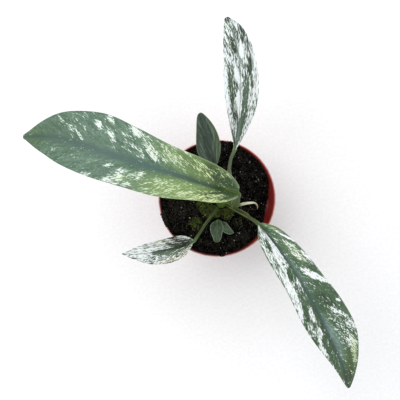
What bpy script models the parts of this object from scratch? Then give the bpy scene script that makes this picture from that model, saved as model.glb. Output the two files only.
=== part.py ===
"""A variegated pothos in a plastic nursery pot, with its soil, stem, five leaves and a young shoot.

The origin is on the pot's axis at the face that it stands on, +Z is up, and +Y points the way
that the narrow upper leaf grows. Every size below is in millimetres and every angle in degrees.
"""

import math
from dataclasses import dataclass

import bmesh
import bpy
from mathutils import Matrix, Vector, noise

MM = 0.001
GAP = 0.3

# Pot
POT_HEIGHT = 88.0
RIM_RADIUS = 50.0
BASE_RADIUS = 36.0
WALL = 1.1
LIP = 0.8
COLLAR_HEIGHT = 20.0
COLLAR_STEP = 0.8
FLOOR = 3.2
GROOVE_DEPTH = 1.8
GROOVE_INNER = 12.0
GROOVE_OUTER = 27.0
BASE_CHAMFER = 1.2
DRAIN_RADIUS = 3.0
DRAIN_RING = 19.5
DRAIN_COUNT = 8
POT_SIDES = 56

# Soil
SOIL_LEVEL = 86.0
SOIL_DIP = 20.0
SOIL_DIP_AT = (47.0, -8.0)
SOIL_DIP_REACH = (15.0, 17.0)
SOIL_SINK = 9.0
SOIL_SINK_REACH = 24.0
CRUMB = 1.1
CRUMB_SPACING = 6.0
SOIL_RINGS = 12
SOIL_SIDES = 44

# Main stem
STEM_AT = (3.7, -4.4)
STEM_RADIUS = 4.0
STEM_FOOT = 40.0
STEM_TOP = 97.0
STEM_TAPER = 0.6
JOINTS = (47.0, 55.0, 63.0, 71.0, 80.0)
JOINT_RISE = 0.45
JOINT_REACH = 1.0
STEM_SIDES = 20

# Leaves
BLADE = 0.7
SHEATH_WALL = 0.7
STALK_OVERLAP = 0.12
BLADE_COLUMNS = 8
COLUMN_POWER = 1.5
ROW_CROWDING = 0.6
FOLD_STATIONS = (0.0, 0.12, 0.4, 1.0)
CUTTER_MARGIN = 6.0

# Young shoot and dry strip
SHOOT_FOOT = (1.8, -19.4, 60.0)
SHOOT_FORK = (1.8, -19.6, 81.5)
SHOOT_RADIUS = 1.1
STRIP_WIDTH = 1.4
STRIP_WALL = 0.7


@dataclass
class Sheath:
    """The thin wings that a leaf's stalk carries, as a trough along the stalk."""

    radius: float
    spread: tuple
    reach: tuple
    opens: tuple = (0.0, 0.0, 1.0)


@dataclass
class Leaf:
    """A leaf: its midrib from base to tip, half widths, cross fold, edge waves and stalk.

    The half widths stand at even steps of an angle whose cosine spaces them along the midrib,
    closest at the base and the tip. Left and right are seen from the base, upper side up.
    """

    name: str
    midrib: tuple
    left: tuple
    right: tuple
    ends: tuple
    fold: tuple
    curl: float
    wave: tuple = (0.0, 1.0, 0.0)
    roll: tuple = (0.0, 0.0)
    keel: float = 1.6
    stalk: tuple = ()
    stalk_radius: tuple = (1.6, 1.2)
    sheath: Sheath = None
    rows: int = 18


LARGE = Leaf(
    name="leaf_large",
    midrib=(
        (13.0, 3.0, 163.0),
        (-4.0, 7.5, 173.0),
        (-28.5, 15.0, 181.0),
        (-55.5, 23.5, 185.0),
        (-87.0, 33.5, 183.0),
        (-115.0, 42.0, 175.0),
        (-142.5, 44.5, 163.0),
    ),
    left=(4.5, 11.0, 14.5, 19.0, 19.5, 19.5, 17.0, 10.5, 3.5),
    right=(7.5, 13.5, 17.0, 19.0, 23.0, 26.5, 21.5, 12.0, 4.0),
    ends=(1.8, 0.5),
    fold=(52.0, 34.0, 18.0, 10.0),
    curl=28.0,
    wave=(1.2, 2.5, 0.0),
    roll=(10.0, 4.0),
    keel=2.2,
    stalk=(
        (3.7, -4.4, 92.0),
        (4.6, -3.6, 98.0),
        (7.4, -2.6, 102.0),
        (11.0, -3.6, 105.5),
        (13.8, -5.6, 111.0),
        (14.6, -6.0, 119.0),
        (14.4, -4.2, 132.0),
        (13.6, -0.4, 149.0),
    ),
    stalk_radius=(2.2, 1.6),
    sheath=Sheath(radius=4.3, spread=(50.0, 105.0), reach=(0.24, 0.62), opens=(-0.6, 0.8, 0.0)),
    rows=22,
)
UPPER = Leaf(
    name="leaf_upper",
    midrib=(
        (12.5, 37.5, 128.0),
        (14.5, 53.5, 140.0),
        (15.5, 76.5, 153.0),
        (14.0, 100.5, 161.0),
        (9.5, 118.5, 164.0),
        (4.5, 130.5, 164.0),
    ),
    left=(1.2, 3.0, 6.5, 10.0, 12.5, 12.0, 10.0, 6.5, 3.0),
    right=(1.5, 4.0, 8.0, 12.0, 13.5, 12.5, 10.5, 7.5, 3.0),
    ends=(1.2, 0.5),
    fold=(48.0, 34.0, 20.0, 10.0),
    curl=28.0,
    wave=(0.9, 2.5, 1.0),
    stalk=(
        (3.9, -3.4, 90.0),
        (5.6, 0.2, 93.0),
        (8.3, 6.0, 98.5),
        (9.4, 15.0, 105.0),
        (9.3, 25.0, 113.0),
        (10.3, 32.0, 120.0),
    ),
    sheath=Sheath(radius=2.8, spread=(35.0, 70.0), reach=(0.2, 0.52)),
)
LOWER_RIGHT = Leaf(
    name="leaf_lower_right",
    midrib=(
        (32.0, -20.5, 126.0),
        (41.0, -32.0, 136.0),
        (61.0, -61.5, 145.0),
        (81.0, -97.0, 138.0),
        (95.5, -125.0, 126.0),
        (107.0, -155.0, 108.0),
    ),
    left=(4.5, 10.5, 14.0, 16.5, 20.5, 21.0, 15.5, 9.0, 3.5),
    right=(4.0, 11.0, 13.5, 14.0, 15.0, 13.0, 8.5, 4.5, 2.0),
    ends=(1.3, 0.5),
    fold=(48.0, 34.0, 20.0, 10.0),
    curl=28.0,
    wave=(1.2, 2.5, 2.0),
    roll=(-6.0, 4.0),
    keel=2.0,
    stalk=(
        (3.9, -3.9, 90.0),
        (7.8, -4.5, 94.0),
        (13.6, -8.4, 102.5),
        (22.0, -13.6, 112.0),
        (27.2, -16.8, 119.0),
    ),
    stalk_radius=(1.6, 1.3),
    sheath=Sheath(radius=3.2, spread=(25.0, 92.0), reach=(0.2, 0.48), opens=(0.6, 0.6, 1.0)),
    rows=20,
)
LOWER_LEFT = Leaf(
    name="leaf_lower_left",
    midrib=(
        (-19.5, -35.0, 110.0),
        (-30.5, -38.5, 116.0),
        (-46.5, -42.0, 119.0),
        (-63.0, -45.0, 114.0),
        (-78.5, -45.5, 106.0),
    ),
    left=(1.5, 5.0, 9.5, 11.0, 10.5, 8.5, 5.0, 2.5, 1.0),
    right=(3.0, 6.5, 9.0, 9.0, 8.5, 7.5, 5.5, 2.5, 0.8),
    ends=(1.2, 0.5),
    fold=(46.0, 32.0, 18.0, 10.0),
    curl=28.0,
    wave=(0.5, 2.0, 0.0),
    stalk=(
        (3.2, -5.0, 85.0),
        (0.6, -8.6, 89.0),
        (-6.0, -16.4, 97.0),
        (-11.2, -23.0, 102.5),
        (-16.0, -30.2, 107.0),
    ),
    stalk_radius=(1.5, 1.1),
    sheath=Sheath(radius=2.7, spread=(30.0, 95.0), reach=(0.26, 0.7), opens=(0.7, -0.55, 1.0)),
    rows=16,
)
PLAIN = Leaf(
    name="leaf_plain",
    midrib=((-1.5, 27.5, 102.0), (-5.0, 39.0, 112.0), (-8.5, 52.5, 122.0), (-14.5, 66.5, 130.0)),
    left=(1.5, 5.5, 9.5, 12.0, 11.5, 10.0, 7.5, 5.0, 3.0),
    right=(1.5, 3.5, 6.0, 8.0, 8.0, 7.0, 5.5, 3.5, 1.2),
    ends=(1.2, 1.2),
    fold=(50.0, 38.0, 24.0, 16.0),
    curl=30.0,
    stalk=((3.6, -3.6, 82.5), (3.0, 0.4, 86.5), (2.0, 9.0, 92.0), (0.5, 18.5, 97.0)),
    stalk_radius=(1.4, 1.1),
    sheath=Sheath(radius=2.4, spread=(30.0, 65.0), reach=(0.28, 0.55)),
    rows=14,
)
SHOOT_LEAVES = (
    Leaf(
        name="first",
        midrib=((0.0, -19.5, 85.5), (0.0, -24.5, 89.0), (-0.5, -31.0, 89.5), (0.0, -37.5, 86.5)),
        left=(1.5, 3.5, 5.0, 5.5, 5.0, 4.5, 4.0, 3.0, 2.0),
        right=(1.5, 3.5, 5.5, 6.0, 5.5, 4.0, 3.0, 2.5, 1.5),
        ends=(0.9, 0.8),
        fold=(40.0, 30.0, 18.0, 10.0),
        curl=24.0,
        keel=1.0,
        stalk=(SHOOT_FORK, (1.0, -19.5, 83.5)),
        stalk_radius=(0.9, 0.8),
        rows=10,
    ),
    Leaf(
        name="second",
        midrib=((3.5, -20.6, 85.5), (6.5, -24.0, 89.0), (10.0, -27.0, 89.5), (14.0, -29.5, 87.5)),
        left=(1.2, 2.0, 3.0, 3.5, 3.0, 2.5, 1.8, 1.2, 0.8),
        right=(0.8, 1.2, 1.8, 2.8, 4.0, 3.5, 3.0, 2.0, 0.9),
        ends=(0.8, 0.6),
        fold=(40.0, 30.0, 18.0, 10.0),
        curl=24.0,
        keel=1.0,
        stalk=(SHOOT_FORK, (2.5, -20.0, 83.5)),
        stalk_radius=(0.9, 0.8),
        rows=10,
    ),
)
STRIP = (
    (17.1, -5.8, 111.5),
    (18.4, -5.2, 115.8),
    (21.8, -4.3, 118.6),
    (26.0, -3.7, 119.5),
    (29.3, -3.9, 118.6),
    (31.3, -5.6, 116.5),
    (32.0, -8.4, 113.0),
)


def interpolate(value, stations, heights):
    """Straight-line interpolation of heights given at rising stations."""
    for low, high, first, last in zip(stations, stations[1:], heights, heights[1:]):
        if value <= high:
            return first + (last - first) * (value - low) / (high - low)
    return heights[-1]


class Path:
    """A smooth curve through a few points, read by its share of the length."""

    STEPS = 24

    def __init__(self, points):
        given = [Vector(point) for point in points]
        given = [2 * given[0] - given[1], *given, 2 * given[-1] - given[-2]]
        knots = [0.0]
        for start, end in zip(given, given[1:]):
            knots.append(knots[-1] + math.sqrt((end - start).length))
        self.points = []
        for index in range(len(given) - 3):
            for step in range(self.STEPS):
                knot = knots[index + 1] + (knots[index + 2] - knots[index + 1]) * step / self.STEPS
                self.points.append(self.curve(given[index:index + 4], knots[index:index + 4], knot))
        self.points.append(given[-2])
        self.lengths = [0.0]
        for start, end in zip(self.points, self.points[1:]):
            self.lengths.append(self.lengths[-1] + (end - start).length)

    @staticmethod
    def curve(corners, knots, knot):
        """Blends four corners down to one point, a pair at a time."""

        def blend(first, last, start, end):
            return first.lerp(last, (knot - knots[start]) / (knots[end] - knots[start]))

        pairs = [blend(corners[i], corners[i + 1], i, i + 1) for i in range(3)]
        low = blend(pairs[0], pairs[1], 0, 2)
        high = blend(pairs[1], pairs[2], 1, 3)
        return blend(low, high, 1, 2)

    @property
    def length(self):
        return self.lengths[-1]

    def at(self, share):
        """The point at a share of the length from 0 to 1."""
        target = min(max(share, 0.0), 1.0) * self.length
        for index in range(1, len(self.lengths)):
            if self.lengths[index] >= target:
                start = self.lengths[index - 1]
                part = (target - start) / (self.lengths[index] - start)
                return self.points[index - 1].lerp(self.points[index], part)
        return self.points[-1].copy()

    def axes(self, share, opens):
        """The point, the direction along the curve, the upper side and the right side there."""
        along = (self.at(share + 0.02) - self.at(share - 0.02)).normalized()
        up = (opens - opens.dot(along) * along).normalized()
        return self.at(share), along, up, along.cross(up)


def station(count, share):
    """Where a share of the midrib lies among evenly turned stations."""
    return math.acos(1.0 - 2.0 * min(max(share, 0.0), 1.0)) / math.pi * count


def half_width(leaf, side, share):
    """The blade's half width on one side, smooth through the leaf's own half widths."""
    widths = [leaf.ends[0], *side, leaf.ends[1]]
    widths = [2 * widths[0] - widths[1], *widths, 2 * widths[-1] - widths[-2]]
    place = station(len(side) + 1, share)
    index = min(int(place), len(side))
    part = place - index
    before, first, last, after = widths[index:index + 4]
    slope = last - before
    bend = 2 * before - 5 * first + 4 * last - after
    twist = 3 * first - before - 3 * last + after
    return 0.5 * (2 * first + slope * part + bend * part ** 2 + twist * part ** 3)


def blade_point(leaf, path, share, across):
    """A point of the blade's upper face, across from -1 at the left edge to 1 at the right."""
    centre, _, up, right = path.axes(share, Vector((0.0, 0.0, 1.0)))
    roll = math.radians(interpolate(share, (0.0, 1.0), leaf.roll))
    up, right = (
        up * math.cos(roll) + right * math.sin(roll),
        right * math.cos(roll) - up * math.sin(roll),
    )
    reach = half_width(leaf, leaf.right if across > 0 else leaf.left, share)
    fold = math.radians(interpolate(share, FOLD_STATIONS, leaf.fold))
    curl = math.radians(leaf.curl)
    edge = abs(across)
    out = reach * (math.sin(fold) - math.sin(fold - curl * edge)) / curl
    rise = reach * (math.cos(fold - curl * edge) - math.cos(fold)) / curl
    height, count, phase = leaf.wave
    if across < 0:
        phase += 2.0
    rise += height * edge ** 2 * math.sin(math.tau * count * share + phase) * math.sin(math.pi * share)
    return centre + right * math.copysign(out, across) + up * rise


def add(name, mesh, collection):
    """Puts a mesh into the scene as a named object."""
    made = bpy.data.objects.new(name, mesh)
    collection.objects.link(made)
    return made


def freeze(made):
    """Applies an object's modifiers, or makes a curve a mesh with its caps welded on."""
    depsgraph = bpy.context.evaluated_depsgraph_get()
    mesh = bpy.data.meshes.new_from_object(made.evaluated_get(depsgraph))
    shape = bmesh.new()
    shape.from_mesh(mesh)
    bmesh.ops.remove_doubles(shape, verts=shape.verts, dist=0.01 * MM)
    shape.to_mesh(mesh)
    shape.free()
    frozen = add("frozen", mesh, made.users_collection[0])
    frozen.matrix_world = made.matrix_world
    name = made.name
    bpy.data.objects.remove(made)
    frozen.name = name
    mesh.name = name
    return frozen


def sheet(name, rows, columns, place, wall, offset, collection, thick=None):
    """A thin body on a grid that a formula lays out, with its thickness from Solidify.

    place turns a share along and a place across into millimetres. thick, where given, is the
    share of the wall that the body has there, and it needs the wall's thinnest share too.
    """
    shape = bmesh.new()
    bmesh.ops.create_grid(shape, x_segments=rows, y_segments=columns, size=1.0)
    bmesh.ops.triangulate(shape, faces=shape.faces, quad_method="ALTERNATE")
    grid = [(vertex.co.x / 2 + 0.5, -vertex.co.y) for vertex in shape.verts]
    for vertex, (along, across) in zip(shape.verts, grid):
        vertex.co = place(along, across) * MM
    mesh = bpy.data.meshes.new(name)
    shape.to_mesh(mesh)
    shape.free()
    made = add(name, mesh, collection)
    solid = made.modifiers.new("Wall", "SOLIDIFY")
    solid.thickness = wall * MM
    solid.offset = offset
    if thick is not None:
        thinnest, share_at = thick
        group = made.vertex_groups.new(name="keel")
        for index, (along, across) in enumerate(grid):
            group.add([index], share_at(along, across), "REPLACE")
        solid.vertex_group = group.name
        solid.thickness_vertex_group = thinnest
    return freeze(made)


def tube(name, path, radii, collection, count=16):
    """A round stalk along a path, tapering evenly from the first radius to the second."""
    curve = bpy.data.curves.new(name, "CURVE")
    curve.dimensions = "3D"
    curve.bevel_depth = MM
    curve.bevel_resolution = 2
    curve.use_fill_caps = True
    spline = curve.splines.new("POLY")
    spline.points.add(count - 1)
    for index, point in enumerate(spline.points):
        share = index / (count - 1)
        point.co = (*(path.at(share) * MM), 1.0)
        point.radius = radii[0] + (radii[1] - radii[0]) * share
    return freeze(add(name, curve, collection))


def boolean(made, operation, others):
    """Joins or cuts a body with others, which are used up."""
    operands = bpy.data.collections.new("operands")
    bpy.context.scene.collection.children.link(operands)
    for other in others:
        for owner in other.users_collection:
            owner.objects.unlink(other)
        operands.objects.link(other)
    modifier = made.modifiers.new(operation.title(), "BOOLEAN")
    modifier.operation = operation
    modifier.operand_type = "COLLECTION"
    modifier.collection = operands
    modifier.solver = "EXACT"
    made = freeze(made)
    for other in list(operands.objects):
        bpy.data.objects.remove(other)
    bpy.data.collections.remove(operands)
    return made


def turned(name, profile, sides, collection, centre=(0.0, 0.0)):
    """A body of revolution from a profile of radius and height that starts and ends on its axis."""
    shape = bmesh.new()
    corners = [shape.verts.new((radius * MM, 0.0, height * MM)) for radius, height in profile]
    for start, end in zip(corners, corners[1:]):
        shape.edges.new((start, end))
    mesh = bpy.data.meshes.new(name)
    shape.to_mesh(mesh)
    shape.free()
    made = add(name, mesh, collection)
    made.location = (centre[0] * MM, centre[1] * MM, 0.0)
    screw = made.modifiers.new("Turn", "SCREW")
    screw.steps = sides
    screw.render_steps = sides
    screw.use_merge_vertices = True
    screw.merge_threshold = 0.02 * MM
    bpy.context.view_layer.update()
    return freeze(made)


def cylinder(name, radius, low, high, centre, collection, sides=20):
    """A plain round bar between two heights."""
    shape = bmesh.new()
    bmesh.ops.create_cone(
        shape,
        cap_ends=True,
        segments=sides,
        radius1=radius * MM,
        radius2=radius * MM,
        depth=(high - low) * MM,
        matrix=Matrix.Translation(Vector((centre[0], centre[1], (low + high) / 2)) * MM),
    )
    mesh = bpy.data.meshes.new(name)
    shape.to_mesh(mesh)
    shape.free()
    return add(name, mesh, collection)


def finish(made, colour, roughness, sharp=40.0):
    """Shades a node smooth between its sharp edges and gives it a material of its own."""
    made.data.shade_smooth()
    made.data.set_sharp_from_angle(angle=math.radians(sharp))
    material = bpy.data.materials.new(made.name)
    material.use_nodes = True
    shader = material.node_tree.nodes["Principled BSDF"]
    shader.inputs["Base Color"].default_value = (*colour, 1.0)
    shader.inputs["Roughness"].default_value = roughness
    shader.inputs["Metallic"].default_value = 0.0
    made.data.materials.clear()
    made.data.materials.append(material)


def inner_radius(height):
    """The pot's inner radius at a height."""
    slope = (RIM_RADIUS - COLLAR_STEP - BASE_RADIUS) / POT_HEIGHT
    return BASE_RADIUS + slope * height - WALL


def build_pot(collection):
    """The pot: collar and rounded lip, tapering wall, grooved base with round drain holes."""
    collar_foot = POT_HEIGHT - COLLAR_HEIGHT
    profile = [
        (0.0, FLOOR),
        (inner_radius(FLOOR), FLOOR),
        (inner_radius(POT_HEIGHT - LIP), POT_HEIGHT - LIP),
        (inner_radius(POT_HEIGHT) + 0.3 * LIP, POT_HEIGHT - 0.2 * LIP),
        (inner_radius(POT_HEIGHT) + LIP, POT_HEIGHT),
        (RIM_RADIUS - 0.5 * LIP, POT_HEIGHT - 0.2 * LIP),
        (RIM_RADIUS, POT_HEIGHT - LIP),
        (RIM_RADIUS, POT_HEIGHT - 3.0 * LIP),
        (RIM_RADIUS - LIP, POT_HEIGHT - 4.0 * LIP),
        (inner_radius(collar_foot) + WALL + COLLAR_STEP, collar_foot),
        (inner_radius(collar_foot) + WALL, collar_foot - COLLAR_STEP),
        (BASE_RADIUS, BASE_CHAMFER),
        (BASE_RADIUS - BASE_CHAMFER, 0.0),
        (GROOVE_OUTER, 0.0),
        (GROOVE_OUTER - 1.0, GROOVE_DEPTH),
        (GROOVE_INNER + 1.0, GROOVE_DEPTH),
        (GROOVE_INNER, 0.0),
        (0.0, 0.0),
    ]
    pot = turned("pot", profile, POT_SIDES, collection)
    drains = []
    for index in range(DRAIN_COUNT):
        turn = math.tau * index / DRAIN_COUNT
        centre = (DRAIN_RING * math.cos(turn), DRAIN_RING * math.sin(turn))
        drain = cylinder(f"drain_{index}", DRAIN_RADIUS, -FLOOR, 2 * FLOOR, centre, collection, 12)
        drains.append(drain)
    pot = boolean(pot, "DIFFERENCE", drains)
    finish(pot, (0.30, 0.035, 0.03), 0.42, sharp=32.0)


def soil_top(x, y):
    """The soil's height at a place: level, sunk at the crown, low at the right, crumbly."""
    dip_x = (x - SOIL_DIP_AT[0]) / SOIL_DIP_REACH[0]
    dip_y = (y - SOIL_DIP_AT[1]) / SOIL_DIP_REACH[1]
    crown = math.hypot(x - STEM_AT[0], y - STEM_AT[1]) / SOIL_SINK_REACH
    height = SOIL_LEVEL - SOIL_DIP * math.exp(-0.5 * (dip_x ** 2 + dip_y ** 2))
    height -= SOIL_SINK * math.exp(-0.5 * crown ** 2)
    return height + CRUMB * noise.noise(Vector((x, y, 0.0)) / CRUMB_SPACING)


def build_soil(collection, holes):
    """Soil that fills the pot, with an uneven crumbly top and plain holes for what stands in it."""
    floor = FLOOR + GAP
    wall = inner_radius(SOIL_LEVEL) - GAP
    profile = [(wall * ring / SOIL_RINGS, SOIL_LEVEL) for ring in range(SOIL_RINGS + 1)]
    profile += [(inner_radius(floor) - GAP, floor), (0.0, floor)]
    soil = turned("soil", profile, SOIL_SIDES, collection)
    for vertex in soil.data.vertices:
        if vertex.co.z > (SOIL_LEVEL - GAP) * MM:
            x, y = vertex.co.x / MM, vertex.co.y / MM
            height = soil_top(x, y)
            shrink = (inner_radius(height) - GAP) / wall
            vertex.co = Vector((x * shrink, y * shrink, height)) * MM
    soil = boolean(soil, "DIFFERENCE", holes)
    finish(soil, (0.018, 0.013, 0.009), 0.95, sharp=60.0)


def stem_profile(extra):
    """The stem's outline, fuller by extra all over: a taper with a ring at each joint."""
    heights = [STEM_TOP - 0.6, STEM_FOOT + 0.6]
    for joint in JOINTS:
        heights += [joint + JOINT_REACH, joint, joint - JOINT_REACH]
    outline = [(0.0, STEM_TOP + extra), (STEM_RADIUS - STEM_TAPER - 0.6 + extra, STEM_TOP + extra)]
    for height in sorted(heights, reverse=True):
        radius = STEM_RADIUS - STEM_TAPER * (height - STEM_FOOT) / (STEM_TOP - STEM_FOOT)
        rise = JOINT_RISE if height in JOINTS else 0.0
        outline.append((radius + rise + extra, height))
    outline += [(STEM_RADIUS - 0.6 + extra, STEM_FOOT - extra), (0.0, STEM_FOOT - extra)]
    return outline


def build_stem(collection):
    """The short main stem that carries the leaves, its foot deep in the soil."""
    stem = turned("stem", stem_profile(0.0), STEM_SIDES, collection, STEM_AT)
    finish(stem, (0.13, 0.20, 0.06), 0.5)


def grow_leaf(leaf, collection):
    """One leaf's bodies: the blade with its keel, the stalk and the sheath's wings."""
    path = Path(leaf.midrib)

    def blade(along, across):
        share = along + ROW_CROWDING * (0.5 - 0.5 * math.cos(math.pi * along) - along)
        return blade_point(leaf, path, share, math.copysign(abs(across) ** COLUMN_POWER, across))

    def keel(along, across):
        return (1.0 - 0.8 * along) if abs(across) < 0.01 else 0.0

    thick = (BLADE / leaf.keel, keel)
    bodies = [sheet(leaf.name, leaf.rows, BLADE_COLUMNS, blade, leaf.keel, -1.0, collection, thick)]
    base, _, up, _ = path.axes(0.0, Vector((0.0, 0.0, 1.0)))
    inside, _, up_inside, _ = path.axes(STALK_OVERLAP, Vector((0.0, 0.0, 1.0)))
    depth = leaf.stalk_radius[1] * 0.75
    stalk = Path([*leaf.stalk, base - up * depth, inside - up_inside * depth])
    bodies.append(tube(leaf.name + "_stalk", stalk, leaf.stalk_radius, collection))
    if leaf.sheath is not None:
        bodies.append(grow_sheath(leaf, stalk, collection))
    return bodies


def grow_sheath(leaf, stalk, collection):
    """The sheath: a trough whose middle runs inside the stalk and whose wings end rounded."""
    sheath = leaf.sheath
    opens = Vector(sheath.opens)

    def trough(along, across):
        share = interpolate(along, (0.0, 1.0), sheath.reach)
        centre, _, up, right = stalk.axes(share, opens)
        spread = math.radians(interpolate(along, (0.0, 1.0), sheath.spread))
        spread *= 0.12 + 0.88 * math.sqrt(max(0.0, 1.0 - along ** 6))
        turn = spread * across
        out = sheath.radius * math.sin(turn)
        rise = sheath.radius * (1.0 - math.cos(turn)) - 0.3 * leaf.stalk_radius[1]
        return centre + right * out + up * rise

    return sheet(leaf.name + "_sheath", 9, 6, trough, SHEATH_WALL, 0.0, collection)


def build_leaf(leaf, colour, collection):
    """A leaf as one body, its stalk's end shaped to sit on the stem."""
    blade, *rest = grow_leaf(leaf, collection)
    made = boolean(blade, "UNION", rest)
    space = turned("stem_space", stem_profile(GAP), STEM_SIDES, collection, STEM_AT)
    made = boolean(made, "DIFFERENCE", [space])
    finish(made, colour, 0.45)


def build_shoot(collection):
    """The young side shoot: a thin stem standing in the soil, with two tiny leaves."""
    stalk = Path([SHOOT_FOOT, (SHOOT_FOOT[0], SHOOT_FOOT[1], 70.0), SHOOT_FORK, (1.8, -19.8, 82.5)])
    shoot = tube("young_shoot", stalk, (SHOOT_RADIUS, SHOOT_RADIUS), collection, 6)
    bodies = []
    for leaf in SHOOT_LEAVES:
        bodies += grow_leaf(leaf, collection)
    shoot = boolean(shoot, "UNION", bodies)
    finish(shoot, (0.10, 0.16, 0.09), 0.5)


def build_strip(collection):
    """The dry strip: a thin curved ribbon, narrowing to its hooked tip."""
    path = Path(STRIP)

    def ribbon(along, across):
        centre, _, up, right = path.axes(along, Vector((0.0, 0.2, 1.0)))
        reach = STRIP_WIDTH * (1.0 - 0.75 * along ** 2)
        return centre + right * reach * across + up * 0.5 * reach * across ** 2

    strip = sheet("dry_sheath", 16, 4, ribbon, STRIP_WALL, 0.0, collection)
    finish(strip, (0.62, 0.60, 0.42), 0.6)


def main():
    for old in list(bpy.data.objects):
        bpy.data.objects.remove(old)
    plant = bpy.data.collections.new("potted_pothos")
    bpy.context.scene.collection.children.link(plant)
    build_pot(plant)
    stem_hole = STEM_RADIUS + JOINT_RISE + GAP
    shoot_hole = SHOOT_RADIUS + GAP
    above = POT_HEIGHT + CUTTER_MARGIN
    holes = [
        cylinder("stem_hole", stem_hole, STEM_FOOT - GAP, above, STEM_AT, plant),
        cylinder("shoot_hole", shoot_hole, SHOOT_FOOT[2] - GAP, above, SHOOT_FOOT, plant, 12),
    ]
    build_soil(plant, holes)
    build_stem(plant)
    build_leaf(LARGE, (0.10, 0.20, 0.10), plant)
    build_leaf(UPPER, (0.30, 0.36, 0.28), plant)
    build_leaf(LOWER_RIGHT, (0.22, 0.31, 0.20), plant)
    build_leaf(LOWER_LEFT, (0.40, 0.44, 0.34), plant)
    build_leaf(PLAIN, (0.04, 0.08, 0.04), plant)
    build_shoot(plant)
    build_strip(plant)


main()
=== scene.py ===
"""The looks of a young lance-leaved pothos with white-splashed leaves, in a terracotta-red nursery pot.

Sizes are in millimetres, and angles among the values are in degrees, unless a comment says otherwise.
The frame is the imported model's: the origin on the pot's axis at its foot, +Z up. Meshes are turned
to metres when they are made.
"""

import logging
import math
from dataclasses import dataclass, field
from enum import Enum
from functools import partial

import bmesh
import bpy
import numpy as np
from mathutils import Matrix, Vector, noise


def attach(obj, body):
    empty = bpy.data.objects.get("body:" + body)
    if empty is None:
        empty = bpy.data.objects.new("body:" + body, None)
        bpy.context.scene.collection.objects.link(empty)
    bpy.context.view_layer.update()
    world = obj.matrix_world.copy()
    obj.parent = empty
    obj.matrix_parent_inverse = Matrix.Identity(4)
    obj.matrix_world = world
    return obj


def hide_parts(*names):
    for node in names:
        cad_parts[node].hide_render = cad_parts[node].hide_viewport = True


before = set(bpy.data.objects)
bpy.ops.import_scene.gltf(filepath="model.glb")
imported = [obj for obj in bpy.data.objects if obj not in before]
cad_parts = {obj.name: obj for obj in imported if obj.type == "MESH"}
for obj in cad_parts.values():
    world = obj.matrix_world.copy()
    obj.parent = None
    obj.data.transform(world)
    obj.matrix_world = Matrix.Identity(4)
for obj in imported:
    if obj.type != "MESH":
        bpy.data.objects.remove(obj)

Pair = tuple[float, float]
Triple = tuple[float, float, float]
Face = tuple[int, ...]
Values = dict[str, np.ndarray]
Socket = bpy.types.NodeSocket

MM = 0.001
BODY = "root"
UPWARD = (0.0, 0.0, 1.0)
STEM_AT = (3.7, -4.4)
SHOOT_AT = (1.8, -19.4)
SPAN = ("Value", "From Min", "From Max", "To Min", "To Max")

log = logging.getLogger("pothos")


class Slot(Enum):
    """The record's material slots."""

    POT = "pot_plastic"
    SOIL = "soil"
    STEM = "stem"
    GREEN = "leaf_green"
    PALE = "leaf_pale"
    DARK = "leaf_dark"
    DRY = "dry_sheath"


class Side(Enum):
    """Which face of a blade a point lies on, as the share of its underside look."""

    UPPER = 0.0
    UNDER = 1.0


class Step(Enum):
    """The steps that finishes are made of: node type, its settings, sockets that take values, socket out."""

    PLUS = ("Math", {"operation": "ADD"}, (0, 1), 0)
    LESS = ("Math", {"operation": "SUBTRACT"}, (0, 1), 0)
    TIMES = ("Math", {"operation": "MULTIPLY"}, (0, 1), 0)
    SINE = ("Math", {"operation": "SINE"}, (0,), 0)
    ROOT = ("Math", {"operation": "SQRT"}, (0,), 0)
    APART = ("VectorMath", {"operation": "DISTANCE"}, (0, 1), "Value")
    SCALE = ("VectorMath", {"operation": "MULTIPLY"}, (0, 1), "Vector")
    BLEND = ("Mix", {"data_type": "RGBA"}, (0, 6, 7), 2)
    RAMP = ("MapRange", {"interpolation_type": "SMOOTHSTEP"}, SPAN, 0)
    SLOPE = ("MapRange", {"interpolation_type": "LINEAR"}, SPAN, 0)
    NOISE = ("TexNoise", {}, ("Vector", "Scale", "Detail", "Roughness"), 0)
    BUMP = ("Bump", {}, ("Height", "Distance", "Strength"), 0)


PLUS, LESS, TIMES, SINE, ROOT, APART, SCALE, BLEND, RAMP, SLOPE, NOISE, BUMP = Step


def linear(hex_colour: str) -> tuple[float, float, float, float]:
    """Turns an sRGB hex colour to the linear colour that shaders take.

    Args:
        hex_colour: Six hex digits.

    Returns:
        Linear red, green and blue, and an alpha of 1.
    """
    channels = (int(hex_colour[at:at + 2], 16) / 255 for at in (0, 2, 4))
    red, green, blue = (c / 12.92 if c <= 0.04045 else ((c + 0.055) / 1.055) ** 2.4 for c in channels)
    return red, green, blue, 1.0


def unit(vectors: np.ndarray) -> np.ndarray:
    """Scales vectors to length 1 along their last axis."""
    return vectors / np.maximum(np.linalg.norm(vectors, axis=-1, keepdims=True), 1e-12)


def smooth(low: float, high: float, value: np.ndarray) -> np.ndarray:
    """A soft step from 0 at low to 1 at high."""
    part = np.clip((value - low) / (high - low), 0.0, 1.0)
    return part * part * (3.0 - 2.0 * part)


def rough(points: np.ndarray, grain: float, seed: float = 0.0) -> np.ndarray:
    """Smooth random relief from -1 to 1 at points in millimetres.

    Args:
        points: Points with three numbers along the last axis.
        grain: The size of one bump.
        seed: A shift that gives another relief.

    Returns:
        One number for each point.
    """
    flat = (points / grain + seed).reshape(-1, 3)
    heights = np.array([noise.noise(Vector(point)) for point in flat])
    return heights.reshape(points.shape[:-1])


def threes(first: object, second: object, third: object) -> np.ndarray:
    """Three numbers for each point, where a single number holds for all of them."""
    return np.stack(np.broadcast_arrays(first, second, third), axis=-1)


def circle(count: int) -> np.ndarray:
    """Angles at even steps round a circle, in radians."""
    return np.linspace(0.0, math.tau, count + 1)[:-1]


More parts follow.
